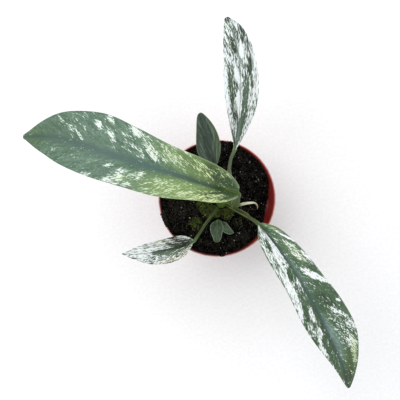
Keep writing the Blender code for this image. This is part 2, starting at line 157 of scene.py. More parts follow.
def polar(radius: float, turn: float) -> Pair:
    """The place at a distance and an angle, in radians, from the pot's axis."""
    return radius * math.cos(turn), radius * math.sin(turn)


def tube(
    centre: np.ndarray, up: np.ndarray, right: np.ndarray, radius: float | np.ndarray, turn: np.ndarray
) -> np.ndarray:
    """Rings of points round a line.

    Args:
        centre: The line's points.
        up: The direction of a quarter turn at each point.
        right: The direction of no turn at each point.
        radius: One radius, or one for each point of each ring.
        turn: The angles of a ring's points, in radians.

    Returns:
        Points by ring, place round it and axis.
    """
    outward = right[:, None] * np.cos(turn)[:, None] + up[:, None] * np.sin(turn)[:, None]
    radius = np.asarray(radius)[..., None]
    return centre[:, None] + radius * outward


def wrap(upper: np.ndarray, lower: np.ndarray) -> np.ndarray:
    """Joins each row of an upper face to the row below it, which runs back from the far rim."""
    return np.concatenate([upper, lower[:, -2:0:-1]], axis=1)


def add_node(
    tree: bpy.types.NodeTree,
    kind: str,
    inputs: dict[int | str, object] | None = None,
    **settings: object,
) -> bpy.types.Node:
    """Adds a shader node, sets it up and links it.

    Args:
        tree: The material's node tree.
        kind: The node's type.
        inputs: Values, hex colours or output sockets for the node's inputs, by name or number.
        **settings: The node's own properties.

    Returns:
        The node.
    """
    made = tree.nodes.new("ShaderNode" + kind)
    for name, value in settings.items():
        setattr(made, name, value)
    for key, value in (inputs or {}).items():
        if isinstance(value, Socket):
            tree.links.new(value, made.inputs[key])
        else:
            made.inputs[key].default_value = linear(value) if isinstance(value, str) else value
    return made


class Graph:
    """A material's nodes, with the longer steps that several finishes share."""

    def __init__(self, name: str) -> None:
        """Starts a material with an empty node tree.

        Args:
            name: The material's name.
        """
        self.material = bpy.data.materials.new(name)
        self.material.use_nodes = True
        self.tree = self.material.node_tree
        self.tree.nodes.clear()

    def __call__(self, step: Step, *values: object) -> Socket:
        """Adds one step with the values that it takes, and returns the socket that it ends in."""
        kind, settings, sockets, end = step.value
        return add_node(self.tree, kind, dict(zip(sockets, values)), **settings).outputs[end]

    def fold(self, step: Step, first: object, *others: object) -> Socket:
        """Takes several values through a step of two, one after another.

        Args:
            step: The step.
            first: The value to start from.
            *others: The values that are taken in, in order.

        Returns:
            The last socket.
        """
        for other in others:
            first = self(step, first, other)
        return first

    def coat(self, colour: object, *coats: tuple[object, object]) -> Socket:
        """Lays coats over a colour.

        Args:
            colour: The lowest colour.
            *coats: For each coat, the share of it that shows and its colour.

        Returns:
            The colour that all of them give.
        """
        for share, over in coats:
            colour = self(BLEND, share, colour, over)
        return colour

    def swing(self, value: object, amount: float) -> Socket:
        """Turns a value around a half to a swing of some amount around nothing."""
        return self(TIMES, self(LESS, value, 0.5), amount)

    def read(self, name: str) -> tuple[Socket, tuple[Socket, ...]]:
        """Reads a value that the mesh carries, whole and as its three numbers."""
        vector = add_node(self.tree, "Attribute", attribute_name=name).outputs["Vector"]
        return vector, tuple(add_node(self.tree, "SeparateXYZ", {0: vector}).outputs)

    def grain(self, place: object, size: Triple, detail: float = 2.0, rough_share: float = 0.5) -> Socket:
        """A random value around a half, with grains of a size in millimetres along each axis."""
        stretched = self(SCALE, place, tuple(1.0 / side for side in size))
        return self(NOISE, stretched, 1.0, detail, rough_share)

    def place(self) -> Socket:
        """The point's place in the object, in millimetres."""
        where = add_node(self.tree, "TexCoord").outputs["Object"]
        return self(SCALE, where, (1 / MM,) * 3)

    def close(self, settings: dict[str, object]) -> bpy.types.Material:
        """Ends the material with its surface shader.

        Args:
            settings: The shader's inputs.

        Returns:
            The material.
        """
        shader = add_node(self.tree, "BsdfPrincipled", settings)
        add_node(self.tree, "OutputMaterial", {"Surface": shader.outputs[0]})
        return self.material


class Body:
    """Gathers closed shells with the values that their points carry, and makes one mesh of them."""

    def __init__(self) -> None:
        """Starts with no shells."""
        self.points: list[np.ndarray] = []
        self.faces: list[Face] = []
        self.slots: list[int] = []
        self.values: dict[str, list[np.ndarray]] = {}
        self.count = 0

    def shell(self, points: np.ndarray, faces: list[Face], values: Values, slot: int = 0) -> None:
        """Adds one closed shell, turned so that its faces look out.

        Args:
            points: One row for each point, in millimetres.
            faces: Corners of each face, counted from the shell's first point.
            values: Three numbers for each point, by the value's name.
            slot: Which of the body's materials the shell has.
        """
        volume = 0.0
        for face in faces:
            corners = points[list(face)]
            volume += float(np.sum(np.cross(corners[1:-1], corners[2:]) @ corners[0]))
        turn = 1 if volume > 0 else -1
        self.faces += [tuple(self.count + corner for corner in face[::turn]) for face in faces]
        self.slots += [slot] * len(faces)
        self.points.append(points)
        for name, numbers in values.items():
            self.values.setdefault(name, []).append(numbers)
        self.count += len(points)

    def loft(self, rings: np.ndarray, values: Values, slot: int = 0) -> None:
        """Adds a shell through rings of points, closed at both ends.

        Args:
            rings: Points by row, place round the ring and axis.
            values: Three numbers for each point, in the same order, by the value's name.
            slot: Which of the body's materials the shell has.
        """
        rows, around, _ = rings.shape
        index = np.arange(rows * around).reshape(rows, around)
        ahead = np.roll(index, -1, axis=1)
        quads = np.stack([index[:-1], ahead[:-1], ahead[1:], index[1:]], axis=-1).reshape(-1, 4)
        faces = [tuple(quad) for quad in quads.tolist()]
        faces += [tuple(index[0, ::-1].tolist()), tuple(index[-1].tolist())]
        flat = {name: numbers.reshape(-1, 3) for name, numbers in values.items()}
        self.shell(rings.reshape(-1, 3), faces, flat, slot)

    def make(self, name: str, materials: list[bpy.types.Material], sharp: float = 60.0) -> bpy.types.Object:
        """Makes the mesh object.

        Args:
            name: The piece's name.
            materials: The materials that the shells' slots count.
            sharp: The angle past which an edge stays sharp.

        Returns:
            The object, in metres.
        """
        mesh = bpy.data.meshes.new(name)
        mesh.from_pydata((np.concatenate(self.points) * MM).tolist(), [], self.faces)
        for value, parts in self.values.items():
            attribute = mesh.attributes.new(value, "FLOAT_VECTOR", "POINT")
            attribute.data.foreach_set("vector", np.concatenate(parts).astype(np.float32).ravel())
        for material in materials:
            mesh.materials.append(material)
        mesh.polygons.foreach_set("material_index", self.slots)
        mesh.shade_smooth()
        mesh.set_sharp_from_angle(angle=math.radians(sharp))
        made = bpy.data.objects.new(name, mesh)
        bpy.context.scene.collection.objects.link(made)
        return made


def place_piece(piece: bpy.types.Object, slot: Slot, *nodes: str) -> bpy.types.Object:
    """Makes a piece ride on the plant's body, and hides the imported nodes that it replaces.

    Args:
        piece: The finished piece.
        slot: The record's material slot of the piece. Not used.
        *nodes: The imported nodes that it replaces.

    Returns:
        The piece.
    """
    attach(piece, BODY)
    if nodes:
        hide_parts(*nodes)
    log.info("%s: %d faces", piece.name, len(piece.data.polygons))
    return piece


@dataclass(frozen=True)
class Hole:
    """An upright round hole, from its foot to its top."""

    at: Pair
    radius: float
    foot: float
    top: float


def bore(piece: bpy.types.Object, holes: list[Hole], sides: int) -> None:
    """Bores holes into a piece.

    Args:
        piece: The piece, whose mesh is cut for good.
        holes: The holes.
        sides: The number of corners round each hole.
    """
    shape = bmesh.new()
    for hole in holes:
        radius, depth = hole.radius * MM, (hole.top - hole.foot) * MM
        rod = bmesh.ops.create_cone(
            shape, cap_ends=True, segments=sides, radius1=radius, radius2=radius, depth=depth
        )
        middle = Vector((*hole.at, 0.5 * (hole.foot + hole.top))) * MM
        bmesh.ops.translate(shape, verts=rod["verts"], vec=middle)
    rods = bpy.data.meshes.new("rods")
    shape.to_mesh(rods)
    shape.free()
    cutter = bpy.data.objects.new("cutter", rods)
    bpy.context.scene.collection.objects.link(cutter)
    cut = piece.modifiers.new("Cut", "BOOLEAN")
    cut.operation = "DIFFERENCE"
    cut.object = cutter
    cut.solver = "EXACT"
    bpy.context.view_layer.update()
    done = bpy.data.meshes.new_from_object(piece.evaluated_get(bpy.context.evaluated_depsgraph_get()))
    piece.modifiers.clear()
    piece.data = done
    bpy.data.objects.remove(cutter)


class Path:
    """A smooth curve through a few points, read by shares of its length."""

    STEPS = 24
    # How far ahead and back the curve's direction is read, as a share of its length.
    SIGHT = 0.02

    def __init__(self, points: list[Triple]) -> None:
        """Runs the curve through the points.

        Args:
            points: The points, in order.
        """
        given = np.array(points, float)
        given = np.concatenate([[2 * given[0] - given[1]], given, [2 * given[-1] - given[-2]]])
        spans = np.sqrt(np.linalg.norm(np.diff(given, axis=0), axis=1))
        knots = np.concatenate([[0.0], np.cumsum(spans)])
        found = []
        for index in range(len(given) - 3):
            for step in range(self.STEPS):
                knot = knots[index + 1] + (knots[index + 2] - knots[index + 1]) * step / self.STEPS
                found.append(self.curve(given[index:index + 4], knots[index:index + 4], knot))
        self.points = np.array([*found, given[-2]])
        lengths = np.concatenate([[0.0], np.cumsum(np.linalg.norm(np.diff(self.points, axis=0), axis=1))])
        self.length = float(lengths[-1])
        self.shares = lengths / self.length

    @staticmethod
    def curve(corners: np.ndarray, knots: np.ndarray, knot: float) -> np.ndarray:
        """Blends four corners down to one point, a pair at a time.

        Args:
            corners: The four corners.
            knots: The knot of each corner.
            knot: The knot of the point, between the second and the third.

        Returns:
            The point.
        """

        def mix(first: np.ndarray, last: np.ndarray, start: int, end: int) -> np.ndarray:
            """The point between two, at the knot's share of their span."""
            return first + (last - first) * (knot - knots[start]) / (knots[end] - knots[start])

        pairs = [mix(corners[i], corners[i + 1], i, i + 1) for i in range(3)]
        return mix(mix(pairs[0], pairs[1], 0, 2), mix(pairs[1], pairs[2], 1, 3), 1, 2)

    def at(self, shares: np.ndarray) -> np.ndarray:
        """The points at shares of the length from 0 to 1."""
        return np.stack([np.interp(shares, self.shares, self.points[:, axis]) for axis in range(3)], axis=-1)

    def axes(self, shares: np.ndarray, opens: Triple = UPWARD) -> tuple[np.ndarray, ...]:
        """The frames along the curve.

        Args:
            shares: Shares of the length.
            opens: The direction that the upper side turns to.

        Returns:
            The points, the upper side and the right side at each share.
        """
        along = unit(self.at(shares + self.SIGHT) - self.at(shares - self.SIGHT))
        towards = np.array(opens, float)
        up = unit(towards - (along @ towards)[..., None] * along)
        return self.at(shares), up, np.cross(along, up)


@dataclass(frozen=True)
class Patch:
    """A stretch of blade where a tone gathers.

    along runs from 0 at the base to 1 at the tip, and across from -1 at the left rim to 1 at the
    right, seen from the base. The tones add up: pale is white tissue, warm is yellow, and deep is
    dark above 0 and below 0 a painted bluish sheen, the sky's reflection on the wax. The lean is
    how far the stretch follows the side veins, from 0 for straight across to 1.
    """

    along: float
    across: float
    reach: Pair
    pale: float = 0.0
    warm: float = 0.0
    deep: float = 0.0
    lean: float = 0.5


@dataclass(frozen=True)
class Sheath:
    """The thin wings that a leaf's stalk carries, as a trough along the stalk.

    The spread is its half angle three tenths of the way along it and at its end, before that end is
    drawn in. The reach is where those two lie, as shares of the stalk's length.
    """

    radius: float
    spread: Pair
    reach: Pair
    opens: Triple = UPWARD


@dataclass(frozen=True)
class LeafTissue:
    """Living leaf blade: waxed skin over green tissue, with splashes that hold no green at all.

    The wax gives a soft satin sheen, and the splashes follow the side veins as torn streaks, edged
    by a veil where only the upper layer of cells is white. The streak and fleck sizes are widths and
    lengths along the side veins, and broken is the share of the flecks in the streaks' shapes. The
    fade is where the splashes set in beside the midrib, in shares of its grey band.
    """

    name: str
    green: str = "3D5B47"
    bright: str = "587662"
    warm: str = "7F9A56"
    # The midrib band's grey: the midrib's own tone, and in its bluish greys a painted sheen of the sky.
    grey: str = "4C665F"
    deep: str = "2C4423"
    white: str = "DFE9E0"
    cream: str = "C9DA98"
    under: str = "7E9A77"
    # The bluish tint of the painted sheen: the sky's reflection on the wax, painted into the colour.
    painted_sheen: str = "8FA7A0"
    veiled: float = 0.5
    streak: Pair = (0.75, 2.6)
    fleck: Pair = (0.5, 1.0)
    broken: float = 0.45
    edge: float = 0.02
    fade: Pair = (0.15, 0.9)
    haze: float = 0.3
    line_gap: float = 0.95
    roughness: float = 0.44

    # Tints of half-white tissue and of the pale rim, each plain and as it is where the blade is yellower.
    MOTTLE = ("9DB79C", "B1C274")
    HAZE = ("9DB59F", "A9BF78")
    VEIL = ("93AD98", "A3BC76")
    RIM = ("B4C2A6", "CDD8A0")
    # How strong the streaks have to be to turn white, from no splash to a full one, and how far
    # short of that the haze and the veil begin.
    LEVELS = (0.67, 0.34)
    HAZE_BEFORE = 0.15
    VEIL_BEFORE = 0.045
    # Cells are about 0.05 mm, too fine to show, so the skin's grain is drawn at 0.35 mm.
    SKIN = (0.35, 0.35, 0.35)
    CLOUDS = (3.0, 9.0, 1.0)
    SPECKS = (0.5, 1.0, 1.0)
    SHEEN = (2.5, 8.0, 1.0)

    def material(self) -> bpy.types.Material:
        """Makes the blade's material, which reads the veins, tones and place that the mesh carries.

        Returns:
            The material.
        """
        g = Graph(self.name)
        vein, (vein_across, _, _) = g.read("vein")
        _, (pale, warm, deep) = g.read("tone")
        _, (rib, rim, under) = g.read("place")
        width, length = self.streak
        streaks = g.grain(vein, (width, length, 1.0), detail=3.0, rough_share=0.6)
        flecks = g.grain(vein, (*self.fleck, 1.0), detail=1.0)
        clumps = g.grain(vein, (4.0 * width, 2.0 * length, 1.0), detail=1.0)
        shreds = g.grain(vein, (0.7 * width, 0.45 * length, 2.0))
        specks = g.grain(vein, self.SPECKS)
        lines = g(SINE, g(TIMES, vein_across, math.tau / self.line_gap))

        torn = g(TIMES, streaks, 1.0 - self.broken)
        torn = g(PLUS, torn, g(TIMES, flecks, self.broken))
        fade = g(RAMP, rib, *self.fade)
        amount = g(PLUS, g(TIMES, pale, fade), g.swing(clumps, 0.9))
        level = g(SLOPE, amount, 0.0, 1.0, *self.LEVELS)

        def past(value: Socket, start: float, end: float) -> Socket:
            """How far a value has come between two distances from the level."""
            return g(RAMP, value, g(PLUS, level, start), g(PLUS, level, end))

        def tint(plain: str, yellow: str) -> Socket:
            """A colour that is yellower where the blade is warm."""
            return g(BLEND, warm, plain, yellow)

        haze = g(TIMES, g(RAMP, torn, g(LESS, level, self.HAZE_BEFORE), level), self.haze)
        near = g(PLUS, torn, g.swing(shreds, 0.5))
        veil = past(near, -self.VEIL_BEFORE, self.edge - self.VEIL_BEFORE)
        # Painted sheen: where deep is below 0 the sky's bluish reflection is painted in, broken by the
        # streaks.
        sheen_share = g(RAMP, deep, 0.0, -1.0, 0.0, 0.8)
        ground = g.coat(
            self.green,
            (g(RAMP, g.grain(vein, self.CLOUDS), 0.3, 0.7), self.bright),
            (warm, self.warm),
            (g(RAMP, specks, 0.5, 0.75, 0.0, 0.22), tint(*self.MOTTLE)),
            (g(RAMP, specks, 0.5, 0.25, 0.0, 0.25), self.deep),
            (haze, tint(*self.HAZE)),
            # The grey band along the midrib: its own tone, and in bluish greys a painted reflection of the
            # sky.
            (g(RAMP, rib, 0.15, 1.0, 0.9, 0.0), self.grey),
            (deep, self.deep),
            (g(TIMES, sheen_share, g(RAMP, streaks, 0.35, 0.65, 0.3, 1.0)), self.painted_sheen),
            # Painted shade in the midrib's channel: a thin dark line, deepest at its middle.
            (g(RAMP, rib, 0.02, 0.12, 0.28, 0.0), self.deep),
            (g.fold(TIMES, fade, self.veiled, veil), tint(*self.VEIL)),
            (g(RAMP, lines, 0.2, 1.0, 0.0, 0.05), "B7C8A6"),
        )
        white = g.coat(
            tint(self.white, self.cream),
            (g(RAMP, specks, 0.42, 0.7, 0.0, 0.3), "C2CEC6"),
            (g(RAMP, lines, 0.0, 1.0, 0.0, 0.1), "B2C2B6"),
        )
        below = g.coat(
            self.under,
            (g(RAMP, rib, 0.2, 0.35, 0.6, 0.0), "A3B68F"),
            (g(RAMP, lines, 0.3, 1.0, 0.0, 0.18), "B4C6A2"),
        )
        colour = g.coat(
            ground,
            (past(torn, -self.edge, self.edge), white),
            (g(TIMES, rim, 0.7), tint(*self.RIM)),
            (g(TIMES, under, 0.62), below),
        )
        skin = g.grain(g.place(), self.SKIN, detail=1.0)
        relief = g(PLUS, g(TIMES, lines, 0.25), g(TIMES, skin, 0.6))
        sheen = g.grain(vein, self.SHEEN)
        shine = g(RAMP, sheen, 0.3, 0.7, self.roughness - 0.06, self.roughness + 0.08)
        return g.close({
            "Base Color": colour,
            "Roughness": g(PLUS, shine, g(TIMES, under, 0.2)),
            "IOR": 1.44,
            "Specular IOR Level": 0.42,
            "Subsurface Weight": 0.05,
            "Subsurface Radius": (0.6, 1.0, 0.3),
            "Subsurface Scale": 0.6 * MM,
            "Normal": g(BUMP, relief, 0.05 * MM, 0.6),
        })


@dataclass(frozen=True)
class StalkSkin:
    """Living stalk and sheath: smooth, ribbed lengthwise, paler and thinner at the sheath's rims."""

    name: str
    green: str
    light: str
    rim: str = "93A166"
    base: str = "516C27"
    neck: str = "5D7742"
    rib: str = "8C9B66"
    rib_gap: float = 0.9
    fibre: Triple = (0.45, 9.0, 1.0)

    def material(self) -> bpy.types.Material:
        """Makes the stalk's material, which reads its length and its rims from the mesh.

        Returns:
            The material.
        """
        g = Graph(self.name)
        vein, (around, _, _) = g.read("vein")
        _, (neck, rim, base) = g.read("place")
        ribs = g(SINE, g(TIMES, around, math.tau / self.rib_gap))
        fibres = g.grain(vein, self.fibre)
        colour = g.coat(
            self.green,
            (g(RAMP, fibres, 0.3, 0.74), self.light),
            (g(RAMP, ribs, 0.0, 1.0, 0.0, 0.05), self.rib),
            (g(TIMES, base, 0.7), self.base),
            (g(TIMES, neck, 0.8), self.neck),
            (g(TIMES, rim, 0.75), self.rim),
        )
        relief = g(PLUS, g(TIMES, ribs, 0.15), fibres)
        return g.close({
            "Base Color": colour,
            "Roughness": g(RAMP, fibres, 0.3, 0.7, 0.42, 0.56),
            "IOR": 1.44,
            "Specular IOR Level": 0.35,
            "Subsurface Weight": 0.08,
            "Subsurface Radius": (0.7, 1.0, 0.3),
            "Subsurface Scale": 1.0 * MM,
            "Normal": g(BUMP, relief, 0.06 * MM, 0.6),
        })


@dataclass
class Leaf:
    """One leaf: a blade with its midrib and side veins, its stalk and the sheath's wings.

    The midrib runs from the base to the tip. The half widths stand at even steps of an angle whose
    cosine spaces them along it, between those at its two ends. Left and right are seen from the base,
    with the upper side up. The fold is how far each half is raised at the fold's stations, the curl
    how far it bends back to its rim, the wave the height and number of its ripples and their start in
    radians, and the roll the blade's turn at the base and the tip. The band is the half width of the
    grey stripe along the midrib, and the rim is how pale the blade's very edge is, or how dark below
    0, both at even steps from the base to the tip. The veins are the angles of the side veins to the
    midrib, at the base and two fifths on.
    """

    name: str
    slot: Slot
    midrib: list[Triple]
    left: tuple[float, ...]
    right: tuple[float, ...]
    ends: Pair
    fold: tuple[float, float, float, float]
    tissue: LeafTissue
    skin: StalkSkin
    stalk: list[Triple]
    curl: float = 28.0
    wave: Triple = (0.0, 1.0, 0.0)
    roll: Pair = (0.0, 0.0)
    keel: float = 1.6
    stalk_radius: Pair = (1.6, 1.2)
    sheath: Sheath | None = None
    patches: tuple[Patch, ...] = ()
    base_tone: Triple = (0.1, 0.0, 0.0)
    left_veins: Pair = (24.0, 40.0)
    right_veins: Pair = (24.0, 40.0)
    vein_gap: float = 5.5
    quilt: float = 0.16
    band: tuple[float, ...] = (1.5, 5.0, 5.0, 4.0, 1.5)
    rim: tuple[float, ...] = (0.5, 0.3, 0.0, -0.3, -0.5)
    rows: int = 150
    columns: int = 44
    path: Path = field(init=False)

    FOLD_STATIONS = (0.0, 0.12, 0.4, 1.0)
    VEIN_STATIONS = (0.0, 0.4)
    SHEATH_STATIONS = (0.0, 0.3, 1.0)
    THICKNESS = 0.45
    RIM = 0.35
    CHANNEL_DEPTH = 0.22
    CHANNEL_WIDTH = 1.1
    BUCKLE = 0.25
    BUCKLE_SIZE = 14.0
    STALK_OVERLAP = 0.2
    STALK_ROWS = 72
    STALK_SIDES = 20
    SHEATH_WALL = 0.35
    SHEATH_GRID = (60, 31)
    RIPPLE = 0.18
    FOOT_REACH = 15.0
    # The shift that keeps the veins' pattern of one half from mirroring the other's.
    HALF_SHIFT = 40.0

    def __post_init__(self) -> None:
        """Runs the midrib's curve."""
        self.path = Path(self.midrib)

    def half_width(self, side: tuple[float, ...], shares: np.ndarray) -> np.ndarray:
        """The blade's half width on one side, smooth through that side's own numbers.

        Args:
            side: The side's numbers.
            shares: Shares of the midrib's length.

        Returns:
            The half width at each share.
        """
        widths = [self.ends[0], *side, self.ends[1]]
        widths = np.array([2 * widths[0] - widths[1], *widths, 2 * widths[-1] - widths[-2]])
        place = np.arccos(1.0 - 2.0 * np.clip(shares, 0.0, 1.0)) / math.pi * (len(side) + 1)
        index = np.minimum(place.astype(int), len(side))
        part = place - index
        before, first, last, after = (widths[index + step] for step in range(4))
        bend = 2 * before - 5 * first + 4 * last - after
        twist = 3 * first - before - 3 * last + after
        return 0.5 * (2 * first + (last - before) * part + bend * part ** 2 + twist * part ** 3)

    def reach(self, along: np.ndarray, across: np.ndarray) -> np.ndarray:
        """The half width on the side that each point lies on, rounded off at the very base."""
        reach = np.where(across > 0, self.half_width(self.right, along), self.half_width(self.left, along))
        return reach * np.sqrt(np.clip(along * self.path.length / self.ends[0], 0.08, 1.0))

    def surface(self, along: np.ndarray, across: np.ndarray) -> np.ndarray:
        """Points of the blade's upper face, before its fine relief.

        Args:
            along: Shares of the midrib's length.
            across: Shares of the half width, below 0 on the left.

        Returns:
            The points.
        """
        centre, up, right = self.path.axes(along)
        roll = np.radians(np.interp(along, (0.0, 1.0), self.roll))[..., None]
        up, right = up * np.cos(roll) + right * np.sin(roll), right * np.cos(roll) - up * np.sin(roll)
        reach = self.reach(along, across)
        fold = np.radians(np.interp(along, self.FOLD_STATIONS, self.fold))
        curl = math.radians(self.curl)
        edge = np.abs(across)
        out = reach * (np.sin(fold) - np.sin(fold - curl * edge)) / curl
        rise = reach * (np.cos(fold - curl * edge) - np.cos(fold)) / curl
        height, count, phase = self.wave
        turn = math.tau * count * along + phase + np.where(across < 0, 2.0, 0.0)
        rise = rise + height * edge ** 2 * np.sin(turn) * np.sin(math.pi * along)
        return centre + right * (out * np.sign(across))[..., None] + up * rise[..., None]

    def normals(self, along: np.ndarray, across: np.ndarray) -> np.ndarray:
        """Directions straight out of the upper face.

        Args:
            along: Shares of the midrib's length.
            across: Shares of the half width, below 0 on the left.

        Returns:
            The directions.
        """
        step = 1e-3
        ahead = self.surface(along + step, across) - self.surface(along - step, across)
        aside = self.surface(along, across + step) - self.surface(along, across - step)
        return unit(np.cross(aside, ahead))

    def veins(self, along: np.ndarray, across: np.ndarray) -> tuple[np.ndarray, np.ndarray]:
        """The side vein that runs through each point.

        Args:
            along: Shares of the midrib's length.
            across: Shares of the half width, below 0 on the left.

        Returns:
            Where the vein starts along the midrib, and how far along it the point lies.
        """
        aside = self.reach(along, across) * np.abs(across)
        sides = (self.left_veins, self.right_veins)
        left, right = (np.interp(along, self.VEIN_STATIONS, veins) for veins in sides)
        angle = np.radians(np.where(across > 0, right, left))
        start = along * self.path.length - aside / np.tan(angle) * (1.0 + 0.25 * np.abs(across))
        return start, aside / np.sin(angle)

    def tones(self, along: np.ndarray, across: np.ndarray) -> np.ndarray:
        """The tones at each point, from the leaf's own level and its patches.

        Args:
            along: Shares of the midrib's length.
            across: Shares of the half width, below 0 on the left.

        Returns:
            The pale, warm and deep tone at each point.
        """
        start, _ = self.veins(along, across)
        tone = np.zeros((*along.shape, 3)) + self.base_tone
        for patch in self.patches:
            middle, _ = self.veins(np.array([patch.along]), np.array([patch.across]))
            ahead = patch.lean * (start - middle) / self.path.length
            ahead = (ahead + (1.0 - patch.lean) * (along - patch.along)) / patch.reach[0]
            aside = (across - patch.across) / patch.reach[1]
            here = np.exp(-((ahead ** 2 + aside ** 2) ** 2))
            tone += here[..., None] * (patch.pale, patch.warm, patch.deep)
        return np.clip(tone, (-0.4, 0.0, -1.0), 1.0)

    @staticmethod
    def profile(numbers: tuple[float, ...], along: np.ndarray) -> np.ndarray:
        """Reads numbers that stand at even steps from the base to the tip."""
        return np.interp(along, np.linspace(0.0, 1.0, len(numbers)), numbers)

    def grid(self) -> tuple[np.ndarray, ...]:
        """Shares along and across the blade.

        Returns:
            The shares along, closer together at both ends, and those across, closer at the rims.
        """
        shares = np.linspace(0.0, 1.0, self.rows + 1)
        shares = shares + 0.7 * (0.5 - 0.5 * np.cos(math.pi * shares) - shares)
        steps = np.linspace(-1.0, 1.0, self.columns + 1)
        edge = np.abs(steps)
        steps = np.sign(steps) * (0.55 * edge ** 1.6 + 0.45 * np.sin(0.5 * math.pi * edge))
        return tuple(np.meshgrid(shares, steps, indexing="ij"))

    def build_blade(self, body: Body) -> None:
        """Lofts the blade: both faces from rim to rim, with the channel, keel and side veins raised.

        Args:
            body: The body that the blade joins.
        """
        along, across = self.grid()
        top, normal = self.surface(along, across), self.normals(along, across)
        reach = self.reach(along, across)
        from_rim = (1.0 - np.abs(across)) * reach
        from_rib = np.abs(across) * reach
        thin = np.sqrt(np.clip(1.0 - (1.0 - np.minimum(from_rim / self.RIM, 1.0)) ** 2, 0.0, 1.0))
        start, run = self.veins(along, across)
        taper = 1.0 - 0.75 * along

        channel = self.CHANNEL_DEPTH * taper * np.exp(-((from_rib / self.CHANNEL_WIDTH) ** 2))
        swell = np.cos(math.tau * start / self.vein_gap)
        inside = smooth(0.8, 5.0, from_rib) * smooth(0.0, 4.0, from_rim)
        relief = self.quilt * (0.35 * swell - np.exp(-6.0 * (1.0 - swell))) * inside
        buckle = rough(top, self.BUCKLE_SIZE, seed=len(self.name)) * smooth(0.0, 6.0, from_rib)
        relief = relief + self.BUCKLE * buckle
        upper = top + normal * ((relief - channel) * thin)[..., None]
        keel = (self.keel - self.THICKNESS) * taper * np.exp(-((from_rib / (0.5 * self.keel)) ** 2))
        lower = top - normal * ((self.THICKNESS + keel - relief) * thin)[..., None]

        tone = self.tones(along, across)
        rim = 1.0 - smooth(0.15, 0.8, from_rim)
        edging = self.profile(self.rim, along)
        tone[..., 2] += rim * np.maximum(-edging, 0.0)
        rim = rim * np.maximum(edging, 0.0)
        spacing = np.sin(np.radians(np.where(across > 0, self.right_veins[1], self.left_veins[1])))
        vein = threes(start * spacing, run, np.sign(across) * self.HALF_SHIFT)
        rib = from_rib / self.profile(self.band, along)
        places = [threes(rib, rim, side.value) for side in (Side.UPPER, Side.UNDER)]
        values = {"vein": wrap(vein, vein), "tone": wrap(tone, tone), "place": wrap(*places)}
        body.loft(wrap(upper, lower), values)

    def stalk_path(self) -> Path:
        """The stalk's curve.

        Returns:
            The curve from the stem to under the blade's midrib.
        """
        points, up, _ = self.path.axes(np.array([0.0, self.STALK_OVERLAP]))
        under = points - up * self.stalk_radius[1] * np.array([[0.75], [0.5]])
        return Path([*self.stalk, tuple(under[0]), tuple(under[1])])

    def build_stalk(self, body: Body) -> None:
        """Sweeps the stalk: channelled above, swollen at its foot and just before the blade.

        Args:
            body: The body that the stalk joins.
        """
        path = self.stalk_path()
        shares, turn = np.linspace(0.0, 1.0, self.STALK_ROWS), circle(self.STALK_SIDES)
        centre, up, right = path.axes(shares, self.sheath.opens if self.sheath else UPWARD)
        blade_at = 1.0 - self.STALK_OVERLAP * self.path.length / path.length
        radius = np.interp(shares, (0.0, 1.0), self.stalk_radius)
        radius *= 1.0 + 0.2 * np.exp(-(((shares - blade_at) * path.length / 4.0) ** 2))
        radius *= 1.0 + 0.5 * np.exp(-((shares * path.length / 6.0) ** 2))
        radius *= 1.0 - 0.85 * smooth(blade_at - 0.01, 1.0, shares)
        channel = 1.0 - 0.16 * np.exp(-(((turn - 0.5 * math.pi) / 0.5) ** 2))
        ribs = 1.0 + 0.015 * np.cos(9 * turn)
        rings = tube(centre, up, right, radius[:, None] * (channel * ribs)[None, :], turn)
        rings += 0.06 * rough(rings, 3.0)[..., None]
        run, around = np.meshgrid(shares * path.length, turn * self.stalk_radius[0], indexing="ij")
        neck = smooth(-9.0, 2.0, run - blade_at * path.length)
        body.loft(rings, self.stalk_values(around, run, 0.0, neck, 0.0), slot=1)

    def stalk_values(
        self, around: np.ndarray, run: np.ndarray, layer: float, neck: object, rim: object
    ) -> Values:
        """What the points of a stalk or a sheath carry.

        Args:
            around: The distance round the stalk.
            run: The distance from the stalk's foot.
            layer: A shift that gives each layer its own pattern.
            neck: How near the blade a point is, from 0 to 1.
            rim: How near the sheath's rim a point is, from 0 to 1.

        Returns:
            Three numbers for each point, by the value's name.
        """
        foot = np.exp(-((run / self.FOOT_REACH) ** 2))
        nothing = threes(0.0, 0.0, 0.0 * run)
        return {"vein": threes(around, run, layer), "tone": nothing, "place": threes(neck, rim, foot)}

    def build_sheath(self, body: Body) -> None:
        """Lofts the sheath's wings, a thin trough with pale wavy rims.

        Args:
            body: The body that the sheath joins.
        """
        sheath, path = self.sheath, self.stalk_path()
        rows, columns = self.SHEATH_GRID
        shares, steps = np.linspace(0.0, 1.0, rows), np.linspace(-1.0, 1.0, columns)
        along, across = np.meshgrid(shares, steps, indexing="ij")
        foot_at = 1.0 / path.length
        share = np.interp(along, self.SHEATH_STATIONS, (foot_at, *sheath.reach))
        centre, up, right = path.axes(share, sheath.opens)
        spread = (0.7 * sheath.spread[0], *sheath.spread)
        spread = np.radians(np.interp(along, self.SHEATH_STATIONS, spread))
        spread = spread * (0.12 + 0.88 * np.sqrt(np.maximum(0.0, 1.0 - along ** 3.5)))
        turn = spread * across
        ripple = self.RIPPLE * across ** 2 * np.sin(along * 17.0 + 2.0 * np.sign(across))
        hollow = sheath.radius * (0.62 + 0.38 * smooth(0.0, 0.3, along))
        waved = hollow + ripple

        def trough(wall: np.ndarray) -> np.ndarray:
            """Points of the trough at a distance from its middle surface."""
            rise = hollow * (1.0 - np.cos(turn)) - 0.3 * self.stalk_radius[1] - wall * np.cos(turn)
            return centre + right * ((waved + wall) * np.sin(turn))[..., None] + up * rise[..., None]

